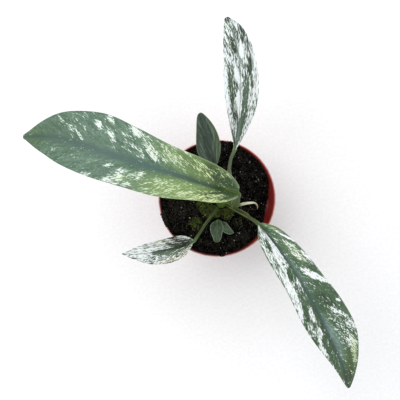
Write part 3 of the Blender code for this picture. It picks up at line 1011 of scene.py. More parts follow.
        edge = (1.0 - np.abs(across)) * spread * hollow
        ends = np.minimum(along, 1.0 - along) * path.length * (sheath.reach[1] - foot_at)
        close = np.minimum(edge, ends)
        wall = 0.5 * self.SHEATH_WALL * np.sqrt(np.clip(close / 0.3, 0.02, 1.0))
        rim = 1.0 - smooth(0.1, 0.8, close)
        values = self.stalk_values(turn * sheath.radius, share * path.length, 7.0, 0.0, rim)
        values = {name: wrap(numbers, numbers) for name, numbers in values.items()}
        body.loft(wrap(trough(-wall), trough(wall)), values, slot=1)

    def fill(self, body: Body) -> None:
        """Adds all of the leaf's shells.

        Args:
            body: The body that they join.
        """
        self.build_blade(body)
        self.build_stalk(body)
        if self.sheath:
            self.build_sheath(body)

    def build(self) -> bpy.types.Object:
        """Makes the leaf and puts it in its node's place.

        Returns:
            The leaf.
        """
        body = Body()
        self.fill(body)
        made = body.make(self.name + "_look", [self.tissue.material(), self.skin.material()])
        return place_piece(made, self.slot, self.name)


@dataclass(frozen=True)
class NurseryPlastic:
    """Polypropylene pot, injection moulded in terracotta red: satin, faintly pebbled, dusted by use."""

    name: str = "Polypropylene terracotta, injection moulded"
    red: str = "8E2A24"
    shade: str = "7E231E"
    dust: str = "B58C7C"
    earth: str = "2A1712"
    scuffed: str = "C06A5C"
    scraped: str = "D3938F"
    wall_shade: str = "2E0A0A"
    shaded: str = "430D0D"
    lip_highlight: str = "E4B4B2"
    scrape_at: Triple = (44.3, -6.5, 68.0)

    CLOUDS = (22.0, 22.0, 30.0)
    SMEARS = (6.0, 6.0, 12.0)
    CRUST = (3.0, 3.0, 2.0)
    SCUFFS = (0.5, 0.5, 7.0)
    SCRAPES = (1.2, 1.6, 0.8)
    # The mould's grain is about 0.1 mm, too fine to show, so it is drawn at 0.5 mm.
    PEBBLE = (0.5, 0.5, 0.5)
    # Heights between which the lip begins, and radii between which its outer half, with the painted
    # highlight, does.
    LIP = (86.4, 87.0)
    OUTER = (48.9, 49.4)

    def material(self, foot: float, flare: float) -> bpy.types.Material:
        """Makes the pot's material: moulded grain, dust low down, earth inside, painted shade inside the lip
        and a painted highlight on its outer edge.

        Args:
            foot: The inner wall's radius at height 0.
            flare: How much wider it gets with each millimetre of height.

        Returns:
            The material.
        """
        g = Graph(self.name)
        place = g.place()
        x, y, z = add_node(g.tree, "SeparateXYZ", {0: place}).outputs
        radius = g(ROOT, g(PLUS, g(TIMES, x, x), g(TIMES, y, y)))
        cloud = g.grain(place, self.CLOUDS, detail=3.0)
        smear = g.grain(place, self.SMEARS, detail=4.0, rough_share=0.7)
        crust = g(RAMP, g.grain(place, self.CRUST, detail=4.0), 0.5, 0.64)
        scuff = g.grain(place, self.SCUFFS, detail=3.0)
        scrape = g(RAMP, g.grain(place, self.SCRAPES), 0.5, 0.6, 0.0, 0.7)

        dusty = g(TIMES, g(RAMP, smear, 0.5, 0.72), g(RAMP, z, 45.0, 0.0, 0.04, 0.34))
        wall = g(PLUS, foot, g(TIMES, z, flare))
        within = g(RAMP, g(LESS, radius, wall), 0.35, 0.15)
        within = g(TIMES, within, g(RAMP, z, 2.6, 3.0))
        near = g(RAMP, g(APART, place, self.scrape_at), 8.0, 3.0)
        high = g(RAMP, z, *self.LIP)
        # How much painted shade falls inside the pot: full at the left, little at the right, where the light
        # reaches.
        shady = g(RAMP, x, 5.0, 38.0, 1.0, 0.1)
        inner = g.fold(TIMES, high, g(RAMP, radius, 49.3, 48.8), shady)
        outer = g(TIMES, high, g(RAMP, radius, *self.OUTER))
        colour = g.coat(
            self.shade,
            (g(RAMP, cloud, 0.25, 0.55), self.red),
            (dusty, self.dust),
            (g.fold(TIMES, within, crust, g(RAMP, z, 84.0, 66.0, 0.1, 0.8)), self.earth),
            (g(RAMP, scuff, 0.62, 0.75, 0.0, 0.25), self.scuffed),
            (g.fold(TIMES, near, scrape, within), self.scraped),
            # Painted shade on the top of the inner wall, just below the lip, deeper at the left.
            (g.fold(TIMES, within, g(RAMP, z, 76.0, 83.0, 0.0, 0.85), shady), self.wall_shade),
            # Painted shade on the inner half of the lip, deeper at the left.
            (g(TIMES, inner, 0.9), self.shaded),
            (g(TIMES, inner, crust), self.earth),
            # A painted highlight along the lip's outer edge.
            (g(TIMES, outer, g(RAMP, smear, 0.3, 0.6, 0.45, 0.9)), self.lip_highlight),
        )
        satin = g(RAMP, cloud, 0.3, 0.7, 0.34, 0.46)
        return g.close({
            "Base Color": colour,
            "Roughness": g(PLUS, satin, g(TIMES, dusty, 0.4)),
            "IOR": 1.49,
            "Subsurface Weight": 0.04,
            "Subsurface Radius": (1.0, 0.3, 0.2),
            "Subsurface Scale": 1.0 * MM,
            "Normal": g(BUMP, g.grain(place, self.PEBBLE), 0.04 * MM, 0.5),
        })


@dataclass
class Pot:
    """The nursery pot: collar with a rounded lip, tapering wall, grooved base with drain holes."""

    height: float = 88.0
    rim: float = 50.0
    base: float = 36.0
    wall: float = 1.1
    lip: float = 0.8
    collar: float = 20.0
    step: float = 0.8
    floor: float = 3.2
    groove_depth: float = 1.8
    groove: Pair = (12.0, 27.0)
    chamfer: float = 1.2
    drain_radius: float = 3.0
    drain_ring: float = 19.5
    drains: int = 8
    rounding: float = 0.6
    sides: int = 192
    finish: NurseryPlastic = NurseryPlastic()

    @property
    def flare(self) -> float:
        """How much wider the wall gets with each millimetre of height."""
        return (self.rim - self.step - self.base) / self.height

    def inner(self, height: float) -> float:
        """The pot's inner radius at a height."""
        return self.base + self.flare * height - self.wall

    def outline(self) -> list[Pair]:
        """The pot's profile.

        Returns:
            Radius and height of each corner, from the middle of the floor round to the foot.
        """
        top, lip = self.height, self.lip
        foot = top - self.collar
        return [
            (0.0, self.floor),
            (self.inner(self.floor) - 0.2, self.floor),
            (self.inner(top - lip), top - lip),
            (self.inner(top) + 0.3 * lip, top - 0.2 * lip),
            (self.inner(top) + lip, top),
            (self.rim - 0.5 * lip, top - 0.2 * lip),
            (self.rim, top - lip),
            (self.rim, top - 3.0 * lip),
            (self.rim - lip, top - 4.0 * lip),
            (self.inner(foot) + self.wall + self.step, foot),
            (self.inner(foot) + self.wall, foot - self.step),
            (self.base, self.chamfer),
            (self.base - self.chamfer, 0.0),
            (self.groove[1], 0.0),
            (self.groove[1] - 1.0, self.groove_depth),
            (self.groove[0] + 1.0, self.groove_depth),
            (self.groove[0], 0.0),
            (0.0, 0.0),
        ]

    @staticmethod
    def rounded(outline: list[Pair], radius: float, steps: int = 4) -> list[Pair]:
        """Rounds the corners of a profile with short curves.

        Args:
            outline: The corners.
            radius: How far from a corner its curve starts, at most.
            steps: The number of points on each curve.

        Returns:
            The profile's points.
        """
        corners = [np.array(corner) for corner in outline]
        found = [corners[0]]
        for before, corner, after in zip(corners, corners[1:], corners[2:]):
            back, on = before - corner, after - corner
            cut = min(radius, 0.45 * np.linalg.norm(back), 0.45 * np.linalg.norm(on))
            start, end = corner + back / np.linalg.norm(back) * cut, corner + on / np.linalg.norm(on) * cut
            for share in np.linspace(0.0, 1.0, steps):
                found.append((1 - share) ** 2 * start + 2 * share * (1 - share) * corner + share ** 2 * end)
        return [tuple(point) for point in [*found, corners[-1]]]

    def build(self) -> bpy.types.Object:
        """Turns the profile, bores the drain holes and dresses the pot.

        Returns:
            The pot.
        """
        shape = bmesh.new()
        profile = self.rounded(self.outline(), self.rounding)
        corners = [shape.verts.new((radius * MM, 0.0, height * MM)) for radius, height in profile]
        edges = [shape.edges.new(pair) for pair in zip(corners, corners[1:])]
        bmesh.ops.spin(
            shape, geom=[*corners, *edges], cent=(0, 0, 0), axis=(0, 0, 1), angle=math.tau, steps=self.sides,
            use_merge=True,
        )
        bmesh.ops.remove_doubles(shape, verts=shape.verts, dist=0.002 * MM)
        bmesh.ops.recalc_face_normals(shape, faces=shape.faces)
        mesh = bpy.data.meshes.new("pot_look")
        shape.to_mesh(mesh)
        shape.free()
        mesh.materials.append(self.finish.material(self.inner(0.0), self.flare))
        pot = bpy.data.objects.new("pot_look", mesh)
        bpy.context.scene.collection.objects.link(pot)
        places = [polar(self.drain_ring, turn) for turn in circle(self.drains)]
        drains = [Hole(place, self.drain_radius, -2 * self.floor, 2 * self.floor) for place in places]
        bore(pot, drains, sides=32)
        pot.data.shade_smooth()
        pot.data.set_sharp_from_angle(angle=math.radians(34.0))
        return place_piece(pot, Slot.POT, "pot")


@dataclass(frozen=True)
class Peat:
    """Moist peat potting soil: crumbled, almost black and without gloss, with brown specks and pale specks,
    partly painted glints.
    """

    name: str = "Peat potting soil, crumbled"
    dark: str = "020202"
    brown: str = "241F1A"
    patchy: str = "2A2822"
    dried: str = "37332A"
    pale: str = "96928A"

    LUMPS = (1.6, 1.6, 1.6)
    PATCHES = (6.0, 6.0, 6.0)
    SPECKS = (0.4, 0.4, 0.4)

    def material(self) -> bpy.types.Material:
        """Makes the soil's material, which reads each crumb's own shade from the mesh.

        Returns:
            The material.
        """
        g = Graph(self.name)
        place = g.place()
        _, (shade, dry, _) = g.read("tone")
        lumps = g.grain(place, self.LUMPS, detail=4.0, rough_share=0.7)
        specks = g.grain(place, self.SPECKS, detail=1.0)
        browned = g(PLUS, lumps, g(TIMES, shade, 0.35))
        colour = g.coat(
            self.dark,
            (g(RAMP, browned, 0.54, 0.84), self.brown),
            (g(RAMP, g.grain(place, self.PATCHES, detail=3.0), 0.48, 0.66, 0.0, 0.5), self.patchy),
            (g(TIMES, dry, g(RAMP, lumps, 0.35, 0.65, 0.2, 0.9)), self.dried),
            # Pale specks, partly painted glints of light on the wet crumbs.
            (g(RAMP, specks, 0.66, 0.74, 0.0, 0.8), self.pale),
        )
        return g.close({
            "Base Color": colour,
            "Roughness": 0.85,
            "Specular IOR Level": 0.025,
            "Normal": g(BUMP, g(PLUS, lumps, specks), 0.4 * MM, 1.0),
        })


@dataclass(frozen=True)
class PlainStuff:
    """A finish of one matter with two shades of it and a fine relief."""

    name: str
    first: str
    second: str
    grain: float
    roughness: float
    depth: float = 0.05

    def material(self) -> bpy.types.Material:
        """Makes the material, which reads each bit's own shade from the mesh.

        Returns:
            The material.
        """
        g = Graph(self.name)
        _, (shade, _, _) = g.read("tone")
        spots = g.grain(g.place(), (self.grain,) * 3, detail=3.0)
        mixed = g(RAMP, g(PLUS, spots, g.swing(shade, 0.4)), 0.35, 0.65)
        return g.close({
            "Base Color": g.coat(self.first, (mixed, self.second)),
            "Roughness": self.roughness,
            "Normal": g(BUMP, spots, self.depth * MM, 0.8),
        })


def crumb_shape(splits: int) -> tuple[np.ndarray, list[Face]]:
    """A small round lump, to be stretched and dented into each crumb.

    Args:
        splits: How finely it is cut: 1 for 12 points, 2 for 42.

    Returns:
        Its points, at a distance of 1 from its middle, and its faces.
    """
    shape = bmesh.new()
    bmesh.ops.create_icosphere(shape, subdivisions=splits, radius=1.0)
    points = np.array([vertex.co for vertex in shape.verts])
    faces = [tuple(vertex.index for vertex in face.verts) for face in shape.faces]
    shape.free()
    return points, faces


@dataclass
class Soil:
    """The soil in the pot: its crumbled top, loose crumbs, pale grains and fibres, and moss."""

    pot: Pot
    level: float = 86.0
    mean_level: float = 76.0
    low_level: float = 70.0
    dip: float = 20.0
    dip_at: Pair = (47.0, -8.0)
    dip_reach: Pair = (14.0, 13.0)
    sink: float = 9.0
    sink_reach: float = 24.0
    bank: float = 1.3
    bank_at: Pair = (-42.0, -18.0)
    bank_reach: Pair = (16.0, 12.0)
    bank_from: Pair = (41.0, 47.0)
    crumb: float = 1.1
    crumb_spacing: float = 6.0
    dry_x: Pair = (-12.0, -32.0)
    dry_y: Pair = (-28.0, -12.0)
    gap: float = 0.3
    crumbs: int = 1500
    stuck: int = 260
    stuck_from: Pair = (-75.0, 55.0)
    fines: int = 4200
    grit: int = 480
    fibres: int = 70
    rings: int = 150
    sides: int = 340
    finish: Peat = Peat()

    # Height, size and seed of each layer of relief on the top.
    RELIEF = ((0.7, 2.4, 5.0), (0.5, 1.1, 9.0), (0.25, 0.55, 3.0))
    # The holes that the stem and the shoot stand in, and how far loose bits keep from their middles.
    HOLES = (Hole(STEM_AT, 4.6, 39.7, 100.0), Hole(SHOOT_AT, 1.3, 59.7, 100.0))
    CLEAR = (5.6, 2.4)
    # Angle on the rim, spread along it and number of the crumbs in each heap spilled there.
    HEAPS = ((203.0, 3.85, 110), (79.5, 4.2, 60), (274.0, 1.4, 16))
    # Pale grains that stand out, by place.
    GRAINS = (
        (17.0, 41.2), (36.0, 16.3), (42.2, 11.2), (1.3, -19.8), (15.0, -36.2), (8.2, -47.1), (-10.0, -14.5),
        (19.5, -30.0), (28.0, 31.0), (-30.5, -8.0), (-22.0, -32.0),
    )
    # Place, reach and number of shoots of each moss cushion.
    CUSHIONS = (
        (-10.0, -6.0, 8.5, 380), (-18.5, -21.0, 6.5, 200), (8.8, -13.0, 6.5, 260), (1.0, -10.5, 6.5, 260),
        (19.0, -20.0, 4.0, 18), (-6.0, -14.0, 6.0, 130), (14.0, -9.0, 5.0, 90),
    )
    MOSS_CLEAR = 5.2
    MOSS_LEAVES = 7
    MOSS_LEAF = 0.75
    # From each leaf of a moss shoot to the next, in radians.
    MOSS_TURN = 2.4
    # The faces of a moss leaf or stem, by its corners: its tip, then three round its foot.
    WEDGE = [(0, 1, 2), (0, 3, 1), (0, 2, 3), (1, 3, 2)]

    def smooth_top(self, x: np.ndarray, y: np.ndarray) -> np.ndarray:
        """The soil's height without its crumbs: sunk at the crown, low at the right.

        Args:
            x: How far to the right each place is.
            y: How far to the back each place is.

        Returns:
            The height at each place.
        """
        dip_x = (x - self.dip_at[0]) / self.dip_reach[0]
        dip_y = (y - self.dip_at[1]) / self.dip_reach[1]
        crown = np.hypot(x - STEM_AT[0], y - STEM_AT[1]) / self.sink_reach
        height = self.level - self.dip * np.exp(-0.5 * (dip_x ** 2 + dip_y ** 2))
        height = height - self.sink * np.exp(-0.5 * crown ** 2)
        return height + self.crumb * rough(threes(x, y, 0.0), self.crumb_spacing)

    def top(self, x: np.ndarray, y: np.ndarray) -> np.ndarray:
        """The soil's height with its crumbs, and the low bank against the wall at the left.

        Args:
            x: How far to the right each place is.
            y: How far to the back each place is.

        Returns:
            The height at each place.
        """
        flat = threes(x, y, 0.0)
        fine = sum(height * rough(flat, size, seed) for height, size, seed in self.RELIEF)
        bank_x = (x - self.bank_at[0]) / self.bank_reach[0]
        bank_y = (y - self.bank_at[1]) / self.bank_reach[1]
        bank = self.bank * smooth(*self.bank_from, np.hypot(x, y)) * np.exp(-(bank_x ** 2 + bank_y ** 2))
        return self.smooth_top(x, y) + fine + bank

    def height_at(self, x: float, y: float) -> float:
        """The soil's height at one place, with its crumbs."""
        return float(self.top(np.array([x]), np.array([y]))[0])

    def dryness(self, x: np.ndarray, y: np.ndarray) -> np.ndarray:
        """How dry the soil is at a place: paler at the left, below the largest leaf."""
        return smooth(*self.dry_x, x) * smooth(*self.dry_y, y)

    def build(self) -> bpy.types.Object:
        """Builds the soil's body, with holes where the stem and the shoot stand.

        Returns:
            The soil.
        """
        floor = self.pot.floor + self.gap
        wall = self.pot.inner(self.level) - self.gap
        shares, turn = np.sqrt(np.linspace(0.0004, 1.0, self.rings)), circle(self.sides)
        share, angle = np.meshgrid(shares, turn, indexing="ij")
        x, y = wall * share * np.cos(angle), wall * share * np.sin(angle)
        height = self.top(x, y)
        shrink = (self.pot.inner(height) - self.gap) / wall
        low = self.pot.inner(floor) - self.gap
        foot = threes(low * np.cos(turn), low * np.sin(turn), floor)
        middle = foot * (0.02, 0.02, 1.0)
        rings = np.concatenate([threes(x * shrink, y * shrink, height), foot[None], middle[None]])
        dry = self.dryness(rings[..., 0], rings[..., 1])
        body = Body()
        body.loft(rings, {"tone": threes(rough(rings, 4.0) * 0.5 + 0.5, dry, 0.0)})
        soil = body.make("soil_look", [self.finish.material()])
        bore(soil, list(self.HOLES), sides=28)
        soil.data.shade_smooth()
        return place_piece(soil, Slot.SOIL, "soil")

    def free_spot(self, random: np.random.Generator, most: float = 0.97) -> Pair:
        """A random place on the soil that isn't in the stem or the shoot.

        Args:
            random: The draw.
            most: How far out it may be, as a share of the soil's radius.

        Returns:
            The place.
        """
        while True:
            radius = math.sqrt(random.random()) * (self.pot.inner(self.mean_level) - self.gap) * most
            place = polar(radius, random.random() * math.tau)
            if all(math.dist(place, hole.at) > clear for hole, clear in zip(self.HOLES, self.CLEAR)):
                return place

    def scatter(
        self,
        name: str,
        spots: list[tuple[float, ...]],
        material: bpy.types.Material,
        seed: int,
        splits: int = 2,
    ) -> None:
        """Lays lumps of their own size and shape.

        Args:
            name: The piece's name.
            spots: Place, height and size of each lump.
            material: The lumps' material.
            seed: The seed of the draw of their shapes.
            splits: How finely each lump is cut.
        """
        random = np.random.default_rng(seed)
        round_points, faces = crumb_shape(splits)
        body = Body()
        for x, y, z, size in spots:
            stretch = size * random.uniform(0.6, 1.15, 3)
            turn, _ = np.linalg.qr(random.normal(size=(3, 3)))
            shift = random.uniform(0, 90)
            dents = 1.0 + 0.55 * rough(round_points, 1.1, shift) + 0.35 * rough(round_points, 0.5, shift)
            points = (round_points * dents[:, None] * stretch) @ turn.T + (x, y, z)
            shade = np.full(len(points), random.random() ** 2)
            body.shell(points, faces, {"tone": threes(shade, self.dryness(x, y), 0.0)})
        place_piece(body.make(name, [material], sharp=50.0), Slot.SOIL)

    def build_crumbs(self) -> None:
        """Strews loose crumbs over the soil and along the low wall, with heaps spilled on the rim."""
        random = np.random.default_rng(11)
        spots = []
        for _ in range(self.crumbs):
            x, y = self.free_spot(random)
            size = 0.35 + 1.0 * random.random() ** 2.5
            spots.append((x, y, self.height_at(x, y) + 0.25 * size, size))
        for degrees, spread, count in self.HEAPS:
            for _ in range(count):
                turn = math.radians(degrees) + spread / self.pot.rim * random.normal()
                radius = self.pot.rim - 1.8 + random.uniform(-2.2, 1.2)
                size = random.uniform(0.45, 1.2)
                spots.append((*polar(radius, turn), self.pot.height + 0.35 * size, size))
        for _ in range(self.stuck):
            turn = math.radians(random.uniform(*self.stuck_from))
            size = random.uniform(0.35, 0.9)
            height = self.height_at(*polar(self.pot.inner(self.low_level) - 2.0, turn))
            height += 1.3 * abs(random.normal())
            spots.append((*polar(self.pot.inner(height) - 1.25 * size, turn), height, size))
        self.scatter("soil_crumbs", spots, self.finish.material(), 12)
        fines = []
        for _ in range(self.fines):
            x, y = self.free_spot(random)
            size = random.uniform(0.2, 0.5)
            fines.append((x, y, self.height_at(x, y) + 0.5 * size, size))
        self.scatter("soil_fines", fines, self.finish.material(), 13, splits=1)

    def build_grains(self) -> None:
        """Lays the pale mineral grains: the ones that stand out, and fine ones all over."""
        random = np.random.default_rng(21)
        spots = [(x, y, random.uniform(0.55, 0.8)) for x, y in self.GRAINS]
        for _ in range(self.grit):
            spots.append((*self.free_spot(random), 0.13 + 0.32 * random.random() ** 2.5))
        placed = [(x, y, self.height_at(x, y) + 0.45 * size, size) for x, y, size in spots]
        stuff = PlainStuff("Perlite and quartz grit, loose", "6E6C66", "D8D5C8", 0.9, 0.85)
        self.scatter("soil_grit", placed, stuff.material(), 22)

    def build_fibres(self) -> None:
        """Lays short peat fibres on the soil."""
        random = np.random.default_rng(31)
        body = Body()
        share = np.linspace(-0.5, 0.5, 9)
        for _ in range(self.fibres):
            x, y = self.free_spot(random, 0.9)
            turn = random.random() * math.tau
            length, thick = random.uniform(3.0, 9.0), random.uniform(0.07, 0.16)
            heading = turn + random.uniform(-0.5, 0.5) * share
            x, y = x + np.cos(heading) * share * length, y + np.sin(heading) * share * length
            z = self.top(x, y) + 0.35 + 0.8 * np.cos(share * math.pi) * random.random()
            sideways = np.array([[-math.sin(turn), math.cos(turn), 0.0]])
            radius = thick * (1.0 - (1.9 * share) ** 4 * 0.8)
            rings = tube(threes(x, y, z), np.array([UPWARD]), sideways, radius[:, None], circle(6))
            body.loft(rings, {"tone": np.full(rings.shape, random.random())})
        stuff = PlainStuff("Peat and coir fibre, dried", "241F19", "5A5040", 1.2, 0.9)
        place_piece(body.make("soil_fibres", [stuff.material()]), Slot.SOIL)

    def grow_moss(self, body: Body, place: Pair, tall: float, random: np.random.Generator) -> None:
        """Grows one moss shoot: a thin stem with a whorl of pointed leaves.

        Args:
            body: The body that the shoot joins.
            place: Where it stands.
            tall: Its height.
            random: The draw.
        """
        x, y = place
        z = self.height_at(x, y) - 0.1
        tone = {"tone": np.full((4, 3), random.random())}
        for leaf in range(self.MOSS_LEAVES):
            heading = leaf * self.MOSS_TURN + random.random()
            foot = np.array([x, y, z + tall * (0.25 + 0.1 * leaf)])
            side = np.array([-math.sin(heading), math.cos(heading), 0.0]) * 0.13
            ahead = np.array([math.cos(heading), math.sin(heading), 0.35 + 0.12 * leaf])
            below = foot - (0.0, 0.0, 0.09)
            points = np.array([foot + self.MOSS_LEAF * ahead, foot + side, foot - side, below])
            body.shell(points, self.WEDGE, tone)
        corners = [(0.0, 0.0, tall), (0.12, 0.0, 0.0), (-0.1, 0.1, 0.0), (-0.1, -0.1, 0.0)]
        body.shell(np.array(corners) + (x, y, z), self.WEDGE, tone)

    def build_moss(self) -> None:
        """Grows the cushions of moss, lower towards their rims."""
        random = np.random.default_rng(41)
        body = Body()
        for x, y, reach, count in self.CUSHIONS:
            for _ in range(count):
                turn = random.random() * math.tau
                out = reach * math.sqrt(random.random()) * random.uniform(0.6, 1.0)
                place = (x + out * math.cos(turn), y + out * math.sin(turn))
                if math.dist(place, STEM_AT) >= self.MOSS_CLEAR:
                    tall = random.uniform(0.9, 1.9) * (1.1 - 0.5 * out / reach)
                    self.grow_moss(body, place, tall, random)
        stuff = PlainStuff("Cushion moss, living", "2F3A0E", "66752A", 2.5, 0.8)
        place_piece(body.make("moss", [stuff.material()], sharp=30.0), Slot.STEM)


@dataclass
class Stem:
    """The short main stem: a taper with a rounded top and a ring at each joint."""

    at: Pair = STEM_AT
    radius: float = 4.0
    foot: float = 40.0
    top: float = 97.0
    dome: float = 89.0
    taper: float = 0.6
    joints: tuple[float, ...] = (47.0, 55.0, 63.0, 71.0, 80.0, 86.5)
    rise: float = 0.45
    reach: float = 1.0
    dent: float = 0.22
    dent_size: float = 3.5
    green_from: Pair = (88.0, 74.0)
    skin: StalkSkin = StalkSkin("Pothos stem skin", "43591A", "5F7829", rim="8A9560", base="39421C")

    def build(self) -> bpy.types.Object:
        """Lofts the stem.

        Returns:
            The stem.
        """
        dome = self.dome + (self.top - self.dome) * np.sin(np.linspace(0.05, 1.0, 14) * math.pi / 2)
        heights = np.concatenate([np.linspace(self.foot, self.dome, 90), dome])
        radius = self.radius - self.taper * (heights - self.foot) / (self.top - self.foot)
        for joint in self.joints:
            radius = radius + self.rise * np.maximum(0.0, 1.0 - np.abs(heights - joint) / self.reach)
        past = ((heights - self.dome) / (self.top - self.dome)).clip(0.0)
        radius = radius * np.sqrt(np.clip(1.0 - past ** 2.4, 0.01, 1.0))
        turn = circle(40)
        x, y = radius[:, None] * np.cos(turn), radius[:, None] * np.sin(turn)
        rings = threes(self.at[0] + x, self.at[1] + y, heights[:, None])
        dents = self.dent * rough(rings, self.dent_size)[..., None]
        rings[..., :2] += dents * (rings[..., :2] - self.at) / self.radius
        run, around = np.meshgrid(heights, turn * self.radius, indexing="ij")
        ring = np.max([np.exp(-(((run - joint) / 0.5) ** 2)) for joint in self.joints], axis=0)
        body = Body()
        place = threes(0.0, ring * 0.6, smooth(*self.green_from, run))
        body.loft(rings, {"vein": threes(around, run, 0.0), "place": place})
        return place_piece(body.make("stem_look", [self.skin.material()]), Slot.STEM, "stem")


@dataclass(frozen=True)
class DryTissue:
    """A leaf sheath dried to parchment: cream, streaked lengthwise, browned at its tip."""

    name: str = "Leaf sheath, dried"
    straw: str = "B9BB92"
    cream: str = "E8E8D2"
    foot: str = "7F8C4E"
    tip: str = "8A7048"
    fibre: Triple = (0.28, 6.0, 1.0)
    browned: Pair = (18.5, 23.5)

    def material(self) -> bpy.types.Material:
        """Makes the material, which reads the strip's length from the mesh.

        Returns:
            The material.
        """
        g = Graph(self.name)
        vein, (_, run, _) = g.read("vein")
        fibres = g.grain(vein, self.fibre, detail=3.0)
        colour = g.coat(
            self.straw,
            (g(RAMP, fibres, 0.35, 0.65), self.cream),
            (g(RAMP, run, 3.5, 0.0, 0.0, 0.6), self.foot),
            (g(RAMP, run, *self.browned, 0.0, 0.65), self.tip),
        )
        return g.close({
            "Base Color": colour,
            "Roughness": 0.62,
            "Subsurface Weight": 0.1,
            "Subsurface Radius": (1.0, 0.8, 0.4),
            "Subsurface Scale": 0.8 * MM,
            "Normal": g(BUMP, fibres, 0.08 * MM, 0.8),
        })


@dataclass
class DryStrip:
    """The dried strip of sheath at the crown, narrowing to its hooked tip."""

    route: tuple[Triple, ...] = (
        (15.2, -6.0, 107.5),
        (16.6, -5.9, 111.5),
        (18.3, -5.3, 115.6),
        (21.8, -4.3, 118.6),
        (26.0, -3.7, 119.5),
        (29.3, -3.9, 118.6),
        (31.3, -5.6, 116.5),
        (32.0, -8.4, 113.0),
    )
    width: float = 1.55
    wall: float = 0.3
    dish: float = 0.55
    rows: int = 90
    columns: int = 15
    finish: DryTissue = DryTissue()

    def build(self) -> bpy.types.Object:
        """Lofts the strip as a thin, dished ribbon with a frayed rim.

        Returns:
            The strip.
        """
        path = Path(list(self.route))
        shares, steps = np.linspace(0.0, 1.0, self.rows), np.linspace(-1.0, 1.0, self.columns)
        along, across = np.meshgrid(shares, steps, indexing="ij")
        centre, up, right = path.axes(along, (0.0, 0.2, 1.0))
        fray = 1.0 + 0.12 * rough(threes(along * 40.0, np.sign(across), 0.0), 1.7)
        reach = self.width * (1.0 - 0.9 * along ** 1.5) * (0.4 + 0.6 * smooth(0.0, 0.16, along)) * fray

        def face(wall: np.ndarray) -> np.ndarray:
            """Points of the ribbon at a distance from its middle surface."""
            rise = self.dish * reach * across ** 2 + wall
            return centre + right * (reach * across)[..., None] + up * rise[..., None]

        wall = 0.5 * self.wall * np.sqrt(np.clip(1.0 - across ** 4, 0.0, 1.0))
        vein = threes(across * reach, along * path.length, 0.0)
        body = Body()
        body.loft(wrap(face(wall), face(-wall)), {"vein": wrap(vein, vein)})
        return place_piece(body.make("dry_sheath_look", [self.finish.material()]), Slot.DRY, "dry_sheath")


